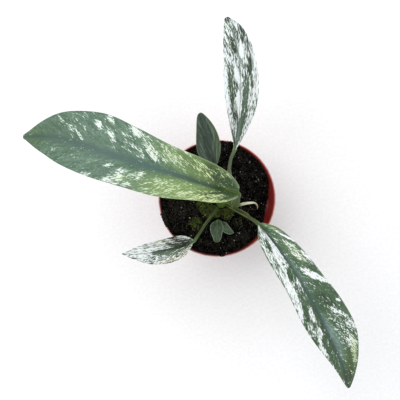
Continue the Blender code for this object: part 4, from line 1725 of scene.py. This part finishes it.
LARGE = Leaf(
    name="leaf_large",
    slot=Slot.GREEN,
    midrib=[
        (13.0, 3.0, 163.0),
        (-4.0, 7.5, 173.0),
        (-28.5, 15.0, 181.0),
        (-55.5, 23.5, 185.0),
        (-87.0, 33.5, 183.0),
        (-115.0, 42.0, 175.0),
        (-142.5, 44.5, 163.0),
    ],
    left=(5.4, 11.2, 14.5, 19.0, 19.5, 19.5, 17.0, 10.5, 3.5),
    right=(7.5, 13.5, 17.0, 19.0, 23.0, 26.5, 21.5, 12.0, 4.0),
    ends=(1.9, 0.5),
    fold=(50.0, 34.0, 18.0, 10.0),
    wave=(1.2, 2.5, 0.0),
    roll=(10.0, 4.0),
    keel=2.2,
    stalk=[
        (3.7, -4.4, 92.0),
        (4.6, -3.6, 98.0),
        (7.4, -2.6, 102.0),
        (11.0, -3.6, 105.5),
        (13.8, -5.6, 111.0),
        (14.6, -6.0, 119.0),
        (14.4, -4.2, 132.0),
        (13.6, -0.4, 149.0),
    ],
    stalk_radius=(2.2, 1.6),
    sheath=Sheath(radius=4.3, spread=(50.0, 105.0), reach=(0.24, 0.62), opens=(-0.6, 0.8, 0.0)),
    rows=230,
    columns=64,
    base_tone=(-0.01, 0.0, 0.0),
    band=(0.8, 2.6, 4.4, 5.6, 5.4, 2.0),
    rim=(0.6, 0.4, 0.1, -0.5, -0.6, -0.6),
    patches=(
        Patch(0.20, -0.55, (0.24, 0.70), warm=0.74),
        Patch(0.22, 0.65, (0.20, 0.55), warm=0.62),
        Patch(0.05, 0.00, (0.08, 1.40), warm=0.60, deep=0.60),
        # Painted shade: the right half of the fold near the base, darker than the left.
        Patch(0.15, 0.62, (0.16, 0.36), deep=0.58),
        Patch(0.15, 0.04, (0.13, 0.24), deep=0.50),
        Patch(0.97, 0.00, (0.10, 1.20), warm=0.20, deep=0.46),
        Patch(0.80, 0.20, (0.12, 0.60), deep=0.22),
        Patch(0.72, 0.22, (0.010, 0.19), pale=0.66, lean=1.0),
        Patch(0.81, 0.62, (0.016, 0.30), pale=0.40, lean=1.0),
        Patch(0.77, 0.80, (0.020, 0.20), pale=0.34),
        Patch(0.735, 0.88, (0.014, 0.10), pale=0.38),
        Patch(0.765, 0.48, (0.016, 0.16), pale=0.28),
        Patch(0.715, 0.44, (0.012, 0.16), pale=0.38),
        Patch(0.666, 0.66, (0.018, 0.13), pale=0.52),
        Patch(0.66, 0.92, (0.024, 0.12), pale=0.32),
        Patch(0.618, 0.90, (0.020, 0.12), pale=0.50),
        Patch(0.64, 0.58, (0.020, 0.20), pale=0.32),
        Patch(0.60, 0.55, (0.018, 0.22), pale=0.30),
        Patch(0.57, 0.34, (0.020, 0.22), pale=0.22),
        Patch(0.52, 0.62, (0.030, 0.20), pale=0.31),
        Patch(0.515, 0.35, (0.020, 0.18), pale=0.31),
        Patch(0.51, 0.90, (0.034, 0.14), pale=0.39),
        Patch(0.465, 0.74, (0.040, 0.28), pale=0.34),
        Patch(0.47, 0.33, (0.026, 0.16), pale=0.34),
        Patch(0.43, 0.15, (0.020, 0.13), pale=0.39),
        Patch(0.415, 0.52, (0.028, 0.34), pale=0.38),
        Patch(0.40, 0.32, (0.018, 0.12), pale=0.37),
        Patch(0.36, 0.62, (0.040, 0.36), pale=0.40),
        Patch(0.29, 0.52, (0.040, 0.32), pale=0.40),
        Patch(0.275, 0.96, (0.034, 0.07), pale=0.55),
        Patch(0.345, 0.93, (0.034, 0.10), pale=0.38),
        Patch(0.21, 0.58, (0.050, 0.34), pale=0.40, warm=0.2),
        Patch(0.13, 0.66, (0.040, 0.24), pale=0.34, warm=0.2),
        Patch(0.155, 0.40, (0.010, 0.11), pale=0.70, warm=-0.2, lean=1.0),
        Patch(0.09, 0.24, (0.009, 0.09), pale=0.55, lean=1.0),
        Patch(0.10, 0.84, (0.040, 0.09), pale=0.37),
        Patch(0.565, -0.42, (0.020, 0.16), pale=0.44),
        Patch(0.51, -0.48, (0.028, 0.16), pale=0.42),
        Patch(0.645, -0.92, (0.026, 0.12), pale=0.42),
        Patch(0.56, -0.95, (0.060, 0.09), pale=0.39),
        Patch(0.535, -0.78, (0.036, 0.20), pale=0.39),
        Patch(0.50, -0.70, (0.026, 0.16), pale=0.36, warm=0.3),
        Patch(0.48, -0.90, (0.020, 0.13), pale=0.45),
        Patch(0.45, -0.46, (0.030, 0.17), pale=0.45),
        Patch(0.42, -0.26, (0.014, 0.12), pale=0.34),
        Patch(0.33, -0.66, (0.110, 0.46), pale=0.40),
        Patch(0.16, -0.72, (0.090, 0.40), pale=0.49, warm=0.15),
        Patch(0.11, -0.60, (0.110, 0.42), deep=0.62),
        Patch(0.09, -0.95, (0.050, 0.10), pale=0.38, warm=0.2),
        Patch(0.73, -0.55, (0.020, 0.18), pale=0.25),
        Patch(0.77, -0.62, (0.018, 0.14), pale=0.20),
        Patch(0.84, -0.55, (0.030, 0.30), pale=0.10),
    ),
    tissue=LeafTissue(
        "Pothos leaf, splashed green", streak=(1.0, 4.6), fleck=(0.8, 1.5), edge=0.012, broken=0.46,
        veiled=0.35,
    ),
    skin=StalkSkin("Pothos stalk, olive", "33420D", "485C15", neck="3F5819"),
)

UPPER = Leaf(
    name="leaf_upper",
    slot=Slot.PALE,
    midrib=[
        (12.5, 37.5, 128.0),
        (14.5, 53.5, 140.0),
        (15.5, 76.5, 153.0),
        (14.0, 100.5, 161.0),
        (9.5, 118.5, 164.0),
        (4.5, 130.5, 164.0),
    ],
    left=(1.2, 3.0, 6.5, 10.0, 12.5, 12.0, 10.0, 6.5, 3.0),
    right=(1.5, 4.0, 8.0, 12.0, 13.5, 12.5, 10.5, 7.5, 3.0),
    ends=(1.2, 0.5),
    fold=(48.0, 34.0, 20.0, 10.0),
    wave=(0.9, 2.5, 1.0),
    stalk=[
        (3.8, -4.1, 81.0),
        (4.6, -2.2, 88.0),
        (6.4, 1.8, 94.0),
        (8.4, 7.6, 99.5),
        (9.4, 15.0, 105.0),
        (9.3, 25.0, 113.0),
        (10.3, 32.0, 120.0),
    ],
    sheath=Sheath(radius=2.8, spread=(35.0, 70.0), reach=(0.2, 0.52)),
    rows=170,
    columns=52,
    left_veins=(12.0, 18.0),
    right_veins=(12.0, 18.0),
    vein_gap=4.0,
    quilt=0.1,
    base_tone=(0.50, 0.0, 0.85),
    band=(1.5, 2.2, 2.0, 2.2, 2.2, 1.5),
    rim=(0.2, 0.2, 0.2, 0.1, 0.0, -0.2),
    # Patches with deep below 0 paint the sky's bluish sheen on the wax.
    patches=(
        Patch(0.14, 0.20, (0.18, 0.30), pale=-0.55, deep=-0.75),
        Patch(0.07, -0.60, (0.05, 0.40), pale=-0.40),
        Patch(0.20, 0.85, (0.12, 0.25), pale=0.12),
        Patch(0.32, -0.42, (0.07, 0.28), pale=-0.28),
        Patch(0.38, -0.90, (0.20, 0.20), pale=0.12),
        Patch(0.39, -0.13, (0.09, 0.12), pale=0.66),
        Patch(0.56, -0.56, (0.13, 0.18), pale=-0.34, deep=-0.45),
        Patch(0.58, -0.92, (0.13, 0.12), pale=0.25),
        Patch(0.585, -0.20, (0.045, 0.17), pale=0.74),
        Patch(0.51, -0.22, (0.025, 0.16), pale=-0.25),
        Patch(0.80, -0.22, (0.06, 0.22), pale=-0.32),
        Patch(0.74, -0.75, (0.05, 0.30), pale=0.16),
        Patch(0.46, 0.30, (0.13, 0.18), pale=-0.36, deep=-0.75),
        Patch(0.80, 0.02, (0.20, 0.10), pale=-0.20, deep=-0.6),
        Patch(0.34, 0.05, (0.10, 0.05), pale=0.20),
        Patch(0.755, 0.25, (0.05, 0.13), pale=0.70),
        Patch(0.65, 0.60, (0.06, 0.18), pale=-0.34),
        Patch(0.44, 0.80, (0.15, 0.25), pale=0.06),
        Patch(0.67, 0.92, (0.09, 0.12), pale=0.25),
        Patch(0.87, 0.72, (0.06, 0.34), pale=-0.30),
        Patch(0.78, 0.72, (0.03, 0.20), pale=-0.10),
        Patch(0.93, 0.15, (0.06, 0.40), pale=-0.10),
        Patch(0.99, 0.00, (0.03, 1.20), pale=-0.30, deep=0.3),
    ),
    tissue=LeafTissue(
        "Pothos leaf, mostly white", green="41543F", bright="5A6F5C", grey="71847D", deep="24301F",
        streak=(1.2, 2.4), fleck=(1.05, 1.35), fade=(-0.15, 0.15), haze=0.06, edge=0.01, white="EBF1F1",
        broken=0.5, veiled=0.35,
    ),
    skin=StalkSkin("Pothos stalk, grey green", "4C5540", "6A7358"),
)

LOWER_RIGHT = Leaf(
    name="leaf_lower_right",
    slot=Slot.GREEN,
    midrib=[
        (32.0, -20.5, 126.0),
        (41.0, -32.0, 136.0),
        (61.0, -61.5, 145.0),
        (81.0, -97.0, 138.0),
        (95.5, -125.0, 126.0),
        (107.0, -155.0, 108.0),
    ],
    left=(4.5, 10.5, 14.0, 16.5, 20.5, 21.0, 15.5, 9.0, 3.5),
    right=(4.0, 11.0, 13.5, 14.0, 15.0, 13.0, 8.5, 4.5, 2.0),
    ends=(1.3, 0.5),
    fold=(48.0, 34.0, 20.0, 10.0),
    wave=(1.2, 2.5, 2.0),
    roll=(-6.0, 4.0),
    keel=2.0,
    stalk=[
        (3.9, -4.3, 82.0),
        (5.2, -4.5, 88.5),
        (8.3, -5.6, 95.5),
        (13.6, -8.6, 102.8),
        (22.0, -13.6, 112.0),
        (27.2, -16.8, 119.0),
    ],
    stalk_radius=(1.6, 1.3),
    sheath=Sheath(radius=3.2, spread=(25.0, 92.0), reach=(0.2, 0.48), opens=(0.6, 0.6, 1.0)),
    rows=210,
    columns=56,
    left_veins=(22.0, 40.0),
    right_veins=(19.0, 25.0),
    vein_gap=5.0,
    base_tone=(0.10, 0.0, 0.10),
    band=(1.2, 2.4, 3.0, 3.4, 3.0, 1.0),
    rim=(0.5, 0.3, 0.2, -0.2, -0.3, -0.4),
    patches=(
        Patch(0.17, 0.55, (0.17, 0.50), pale=0.52, deep=0.30),
        Patch(0.17, 0.20, (0.10, 0.16), pale=0.30),
        Patch(0.13, 0.52, (0.03, 0.14), pale=-0.45, deep=0.3),
        Patch(0.22, 0.70, (0.03, 0.14), pale=-0.22),
        Patch(0.285, 0.38, (0.022, 0.18), pale=-0.45),
        Patch(0.36, 0.25, (0.06, 0.14), pale=0.42, deep=0.2),
        Patch(0.38, 0.78, (0.09, 0.28), pale=0.52, deep=0.2),
        Patch(0.47, 0.55, (0.03, 0.10), pale=-0.35),
        Patch(0.48, 0.86, (0.04, 0.14), pale=0.42),
        Patch(0.50, 0.36, (0.045, 0.14), pale=0.62),
        Patch(0.59, 0.44, (0.04, 0.15), pale=0.50),
        Patch(0.57, 0.80, (0.05, 0.26), pale=0.34),
        Patch(0.67, 0.82, (0.05, 0.24), pale=0.52),
        Patch(0.63, 0.60, (0.02, 0.16), pale=0.40),
        Patch(0.85, 0.92, (0.08, 0.10), pale=0.34),
        Patch(0.82, 0.30, (0.02, 0.12), pale=0.30),
        Patch(0.62, 0.14, (0.16, 0.18), deep=0.42),
        Patch(0.52, 0.66, (0.24, 0.40), deep=0.24),
        # Painted sheen: the sky's bluish reflection beside the midrib.
        Patch(0.58, -0.08, (0.10, 0.14), deep=-0.55, lean=0.2),
        Patch(0.70, -0.14, (0.13, 0.24), deep=-0.75, lean=0.2),
        Patch(0.30, -0.12, (0.14, 0.16), deep=-0.50, lean=0.2),
        Patch(0.62, -0.50, (0.10, 0.30), pale=0.22),
        Patch(0.72, -0.66, (0.06, 0.24), pale=0.24),
        Patch(0.74, 0.86, (0.05, 0.20), pale=0.32),
        Patch(0.05, -0.70, (0.03, 0.20), pale=0.28, warm=0.6),
        Patch(0.12, -0.30, (0.008, 0.10), pale=0.60),
        Patch(0.13, -1.00, (0.03, 0.12), deep=0.40),
        Patch(0.145, -0.88, (0.014, 0.22), pale=0.80, lean=1.0),
        Patch(0.21, -0.62, (0.07, 0.26), pale=0.42, warm=0.30),
        Patch(0.26, -0.94, (0.05, 0.09), pale=0.45),
        Patch(0.25, -0.82, (0.05, 0.06), deep=0.30),
        Patch(0.345, -0.70, (0.026, 0.42), pale=0.74, lean=0.85),
        Patch(0.335, -0.50, (0.016, 0.22), pale=0.30, lean=0.85),
        Patch(0.355, -0.16, (0.012, 0.12), pale=0.30),
        Patch(0.41, -0.12, (0.008, 0.10), pale=0.34),
        Patch(0.47, -0.50, (0.05, 0.26), deep=0.55),
        Patch(0.495, -0.88, (0.008, 0.08), pale=0.90),
        Patch(0.53, -0.62, (0.010, 0.30), pale=0.50, lean=0.9),
        Patch(0.56, -0.70, (0.010, 0.26), pale=0.50, lean=0.9),
        Patch(0.63, -0.86, (0.030, 0.18), pale=0.42),
        Patch(0.68, -0.96, (0.07, 0.09), pale=0.40),
        Patch(0.78, -0.78, (0.10, 0.18), pale=0.36, warm=0.60),
        Patch(0.84, -0.50, (0.12, 0.30), warm=0.30, deep=0.42),
        Patch(0.95, 0.00, (0.10, 1.20), warm=0.25, deep=0.55),
    ),
    tissue=LeafTissue(
        "Pothos leaf, half white", green="344F34", bright="4A6746", grey="3F5750", deep="1C3119",
        streak=(1.1, 3.3), fleck=(0.95, 1.5), fade=(0.0, 0.7), haze=0.1, edge=0.01, white="EFF3F3",
        broken=0.5, painted_sheen="8CA59F", veiled=0.4,
    ),
    skin=StalkSkin("Pothos stalk, moss green", "394420", "5A6535", neck="50683A"),
)

LOWER_LEFT = Leaf(
    name="leaf_lower_left",
    slot=Slot.PALE,
    midrib=[
        (-19.5, -35.0, 110.0),
        (-30.5, -38.5, 116.0),
        (-46.5, -42.0, 119.0),
        (-63.0, -45.0, 114.0),
        (-78.5, -45.5, 106.0),
    ],
    left=(1.5, 5.0, 9.5, 11.0, 10.5, 8.5, 5.0, 2.5, 1.0),
    right=(3.0, 6.5, 9.0, 9.0, 8.5, 7.5, 5.5, 2.5, 0.8),
    ends=(1.2, 0.5),
    fold=(46.0, 32.0, 18.0, 10.0),
    wave=(0.5, 2.0, 0.0),
    stalk=[
        (3.4, -4.7, 75.0),
        (2.2, -6.3, 82.5),
        (-0.8, -10.0, 90.0),
        (-6.0, -16.4, 97.0),
        (-11.2, -23.0, 102.5),
        (-16.0, -30.2, 107.0),
    ],
    stalk_radius=(1.5, 1.1),
    sheath=Sheath(radius=2.3, spread=(25.0, 70.0), reach=(0.26, 0.62), opens=(0.7, -0.55, 1.0)),
    rows=130,
    columns=48,
    left_veins=(16.0, 24.0),
    right_veins=(12.0, 14.0),
    vein_gap=3.6,
    quilt=0.1,
    base_tone=(0.54, 0.0, 0.50),
    band=(2.2, 2.6, 2.2, 1.0, 0.7, 0.5),
    rim=(0.5, 0.0, 0.0, -0.1, -0.1, -0.1),
    # Patches with deep below 0 paint the sky's bluish sheen on the wax.
    patches=(
        Patch(0.10, 0.03, (0.18, 0.22), pale=-0.70, deep=0.05),
        Patch(0.38, -0.14, (0.16, 0.14), pale=-0.62, deep=-0.15),
        Patch(0.47, 0.00, (0.10, 0.09), pale=-0.50),
        Patch(0.47, -0.60, (0.04, 0.12), pale=-0.36),
        Patch(0.10, 0.20, (0.10, 0.80), deep=0.30, pale=-0.10),
        Patch(0.06, 0.60, (0.07, 0.50), pale=-0.18, deep=0.25),
        Patch(0.17, 0.62, (0.07, 0.32), pale=-0.08, deep=0.60),
        Patch(0.12, 0.88, (0.11, 0.14), pale=0.34, warm=0.35),
        Patch(0.26, 0.94, (0.09, 0.11), pale=-0.50, deep=0.7),
        Patch(0.33, 0.45, (0.03, 0.12), pale=-0.50, deep=0.6),
        Patch(0.27, 0.25, (0.07, 0.16), pale=-0.20),
        Patch(0.42, 0.75, (0.10, 0.30), pale=0.12, warm=0.25),
        Patch(0.30, -0.36, (0.20, 0.15), pale=-0.20, deep=-0.25),
        Patch(0.24, -0.74, (0.18, 0.26), pale=0.02, warm=0.50, deep=0.80),
        Patch(0.45, -0.78, (0.08, 0.22), pale=0.08, warm=0.35, deep=0.65),
        Patch(0.70, 0.10, (0.22, 0.70), pale=0.18, deep=0.1),
        Patch(0.52, -0.10, (0.05, 0.14), pale=-0.30),
        Patch(0.12, 0.00, (0.16, 1.30), pale=-0.08, warm=0.15, deep=0.2),
        Patch(0.97, 0.00, (0.05, 1.00), pale=-0.20, deep=0.3),
    ),
    tissue=LeafTissue(
        "Pothos leaf, nearly white", green="3A523C", bright="647C64", grey="273A23", deep="171D0F",
        streak=(1.0, 2.6), fleck=(0.9, 1.4), fade=(0.0, 0.3), haze=0.03, edge=0.008, white="E8EDED",
        cream="EFE7CF", line_gap=0.8, broken=0.6, veiled=0.3,
    ),
    skin=StalkSkin("Pothos stalk, dark olive", "323D1C", "4D5B2E"),
)

PLAIN = Leaf(
    name="leaf_plain",
    slot=Slot.DARK,
    midrib=[(-1.5, 27.5, 102.0), (-5.0, 39.0, 112.0), (-8.5, 52.5, 122.0), (-14.5, 66.5, 130.0)],
    left=(1.5, 5.5, 9.5, 12.0, 11.5, 10.0, 7.5, 5.0, 2.8),
    right=(1.5, 3.5, 6.0, 8.0, 8.0, 7.0, 5.5, 3.6, 1.9),
    ends=(1.2, 0.3),
    fold=(50.0, 38.0, 24.0, 16.0),
    curl=30.0,
    stalk=[(3.6, -4.0, 74.0), (3.4, -1.8, 81.5), (2.7, 3.6, 88.0), (1.6, 11.0, 93.0), (0.5, 18.5, 97.0)],
    stalk_radius=(1.4, 1.1),
    sheath=Sheath(radius=2.4, spread=(30.0, 65.0), reach=(0.28, 0.55)),
    rows=120,
    columns=44,
    left_veins=(10.0, 14.0),
    right_veins=(10.0, 14.0),
    vein_gap=2.6,
    quilt=0.14,
    base_tone=(0.0, 0.0, 0.0),
    band=(0.8, 1.2, 1.2, 0.8),
    rim=(0.3, 0.3, 0.3),
    # The pale bands are painted highlights on the pleats' ridges that face the sky, the deep bands painted
    # shade between them.
    patches=(
        Patch(0.5, 0.55, (0.9, 0.14), pale=0.20),
        Patch(0.4, 0.62, (0.5, 0.34), warm=0.16),
        Patch(0.5, -0.62, (0.9, 0.16), pale=0.14),
        Patch(0.5, -0.30, (0.9, 0.2), deep=0.45),
        Patch(0.5, 0.32, (0.9, 0.12), deep=0.45),
    ),
    tissue=LeafTissue(
        "Pothos leaf, plain green", green="26342A", bright="34453A", grey="3E4E45", deep="18231B",
        under="5F7558", streak=(0.8, 18.0), fleck=(0.7, 10.0), edge=0.1, white="46584B", roughness=0.46,
    ),
    skin=StalkSkin("Pothos stalk, deep green", "2F3B20", "47552F"),
)


@dataclass
class Shoot:
    """The young side shoot: a thin stem that stands in the soil, with two tiny leaves."""

    foot: Triple = (*SHOOT_AT, 60.0)
    bend: Triple = (*SHOOT_AT, 70.0)
    fork: Triple = (1.8, -19.6, 81.5)
    end: Triple = (1.8, -19.8, 82.5)
    radius: float = 1.1
    skin: StalkSkin = StalkSkin("Pothos shoot skin", "36431F", "51613A")
    tissue: LeafTissue = LeafTissue(
        "Pothos leaf, young", green="26371F", bright="3A4F30", grey="4E6446", deep="18240F", under="6C8060",
        streak=(0.6, 4.0), fleck=(0.4, 1.6), edge=0.09, white="5F7259", roughness=0.46, haze=0.14,
    )

    def leaves(self) -> list[Leaf]:
        """The two tiny leaves.

        Returns:
            The leaves, the larger one first.
        """
        tiny = partial(
            Leaf, slot=Slot.DARK, tissue=self.tissue, skin=self.skin, fold=(40.0, 30.0, 18.0, 10.0),
            curl=24.0, keel=1.0, stalk_radius=(0.9, 0.8), rows=70, columns=32, left_veins=(18.0, 30.0),
            right_veins=(18.0, 30.0), vein_gap=1.8, quilt=0.06, base_tone=(0.0, 0.0, 0.1),
            band=(0.7, 0.9, 0.7, 0.4), rim=(0.5, 0.5, 0.5),
        )
        first = tiny(
            name="shoot_first",
            midrib=[(0.0, -19.5, 85.5), (0.0, -24.5, 89.0), (-0.5, -31.0, 89.5), (0.0, -37.5, 86.5)],
            left=(1.5, 3.5, 5.0, 5.5, 5.0, 4.5, 4.0, 3.0, 2.0),
            right=(1.5, 3.5, 5.5, 6.0, 5.5, 4.0, 3.0, 2.5, 1.5),
            ends=(0.9, 0.8),
            stalk=[self.fork, (1.0, -19.5, 83.5)],
        )
        second = tiny(
            name="shoot_second",
            midrib=[(3.5, -20.6, 85.5), (6.5, -24.0, 89.0), (10.0, -27.0, 89.5), (14.0, -29.5, 87.5)],
            left=(1.2, 2.0, 3.0, 3.5, 3.0, 2.5, 1.8, 1.2, 0.8),
            right=(0.8, 1.2, 1.8, 2.8, 4.0, 3.5, 3.0, 2.0, 0.9),
            ends=(0.8, 0.6),
            stalk=[self.fork, (2.5, -20.0, 83.5)],
        )
        return [first, second]

    def build(self) -> bpy.types.Object:
        """Builds the shoot's stem and both leaves as one piece.

        Returns:
            The shoot.
        """
        body = Body()
        for leaf in self.leaves():
            leaf.fill(body)
        path = Path([self.foot, self.bend, self.fork, self.end])
        shares, turn = np.linspace(0.0, 1.0, 40), circle(16)
        centre, up, right = path.axes(shares, (0.0, 1.0, 0.0))
        run, around = np.meshgrid(shares * path.length, turn * self.radius, indexing="ij")
        nothing = np.zeros((*run.shape, 3))
        values = {"vein": threes(around, run, 0.0), "tone": nothing, "place": nothing}
        body.loft(tube(centre, up, right, self.radius, turn), values, slot=1)
        made = body.make("young_shoot_look", [self.tissue.material(), self.skin.material()])
        return place_piece(made, Slot.DARK, "young_shoot")


@dataclass(frozen=True)
class Backdrop:
    """Matt white paper: even and without gloss, so that it only takes the plant's soft shadow."""

    name: str = "Paper backdrop, matt"
    dull: str = "F8F8F8"
    clear: str = "FDFDFD"
    fibre: Triple = (3.0, 3.0, 3.0)

    def material(self) -> bpy.types.Material:
        """Makes the paper's material.

        Returns:
            The material.
        """
        g = Graph(self.name)
        colour = g.coat(self.dull, (g(RAMP, g.grain(g.place(), self.fibre), 0.3, 0.7), self.clear))
        return g.close({"Base Color": colour, "Roughness": 0.9, "Specular IOR Level": 0.2})


@dataclass(frozen=True)
class Lamp:
    """A square soft lamp, with its place and size in metres and its power in watts."""

    name: str
    at: Triple
    size: float
    power: float

    def hang(self, aim: Vector) -> None:
        """Hangs the lamp.

        Args:
            aim: The place that it shines on, in metres.
        """
        light = bpy.data.lights.new(self.name, "AREA")
        light.size = self.size
        light.energy = self.power
        lamp = bpy.data.objects.new(self.name, light)
        lamp.location = self.at
        lamp.rotation_euler = (aim - Vector(self.at)).to_track_quat("-Z", "Y").to_euler()
        bpy.context.scene.collection.objects.link(lamp)


@dataclass
class Studio:
    """A pale floor, soft light from above, and the camera straight over the plant.

    The floor's size and the place that the lamps shine on are in metres.
    """

    camera_at: Triple = (-14.5, -1.4, 588.0)
    lens: float = 52.9
    sensor: float = 36.0
    floor_size: float = 20.0
    air: tuple[float, float, float, float] = (0.97, 0.98, 1.0, 1.0)
    air_strength: float = 0.75
    aim: Triple = (0.0, 0.0, 0.12)
    lamps: tuple[Lamp, ...] = (
        Lamp("Window", (-0.55, 0.45, 1.15), 0.9, 8.0),
        Lamp("Fill", (0.8, -0.5, 1.2), 1.2, 2.5),
    )
    backdrop: Backdrop = Backdrop()

    def build(self) -> None:
        """Makes the floor, the lights and the camera."""
        scene = bpy.context.scene
        scene.view_settings.view_transform = "Standard"
        world = bpy.data.worlds.new("Studio air")
        world.use_nodes = True
        world.node_tree.nodes["Background"].inputs[0].default_value = self.air
        world.node_tree.nodes["Background"].inputs[1].default_value = self.air_strength
        scene.world = world
        bpy.ops.mesh.primitive_plane_add(size=self.floor_size)
        floor = bpy.context.object
        floor.name = "floor"
        floor.data.materials.append(self.backdrop.material())
        for lamp in self.lamps:
            lamp.hang(Vector(self.aim))
        lens = bpy.data.cameras.new("Camera")
        lens.sensor_width = self.sensor
        lens.lens = self.lens
        camera = bpy.data.objects.new("Camera", lens)
        camera.location = Vector(self.camera_at) * MM
        scene.collection.objects.link(camera)
        scene.camera = camera


def main() -> None:
    logging.basicConfig(level=logging.INFO, format="%(name)s: %(message)s")
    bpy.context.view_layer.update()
    Studio().build()
    pot = Pot()
    pot.build()
    soil = Soil(pot)
    soil.build()
    soil.build_crumbs()
    soil.build_grains()
    soil.build_fibres()
    soil.build_moss()
    Stem().build()
    for leaf in (LARGE, UPPER, LOWER_RIGHT, LOWER_LEFT, PLAIN):
        leaf.build()
    Shoot().build()
    DryStrip().build()


if __name__ == "__main__":
    main()
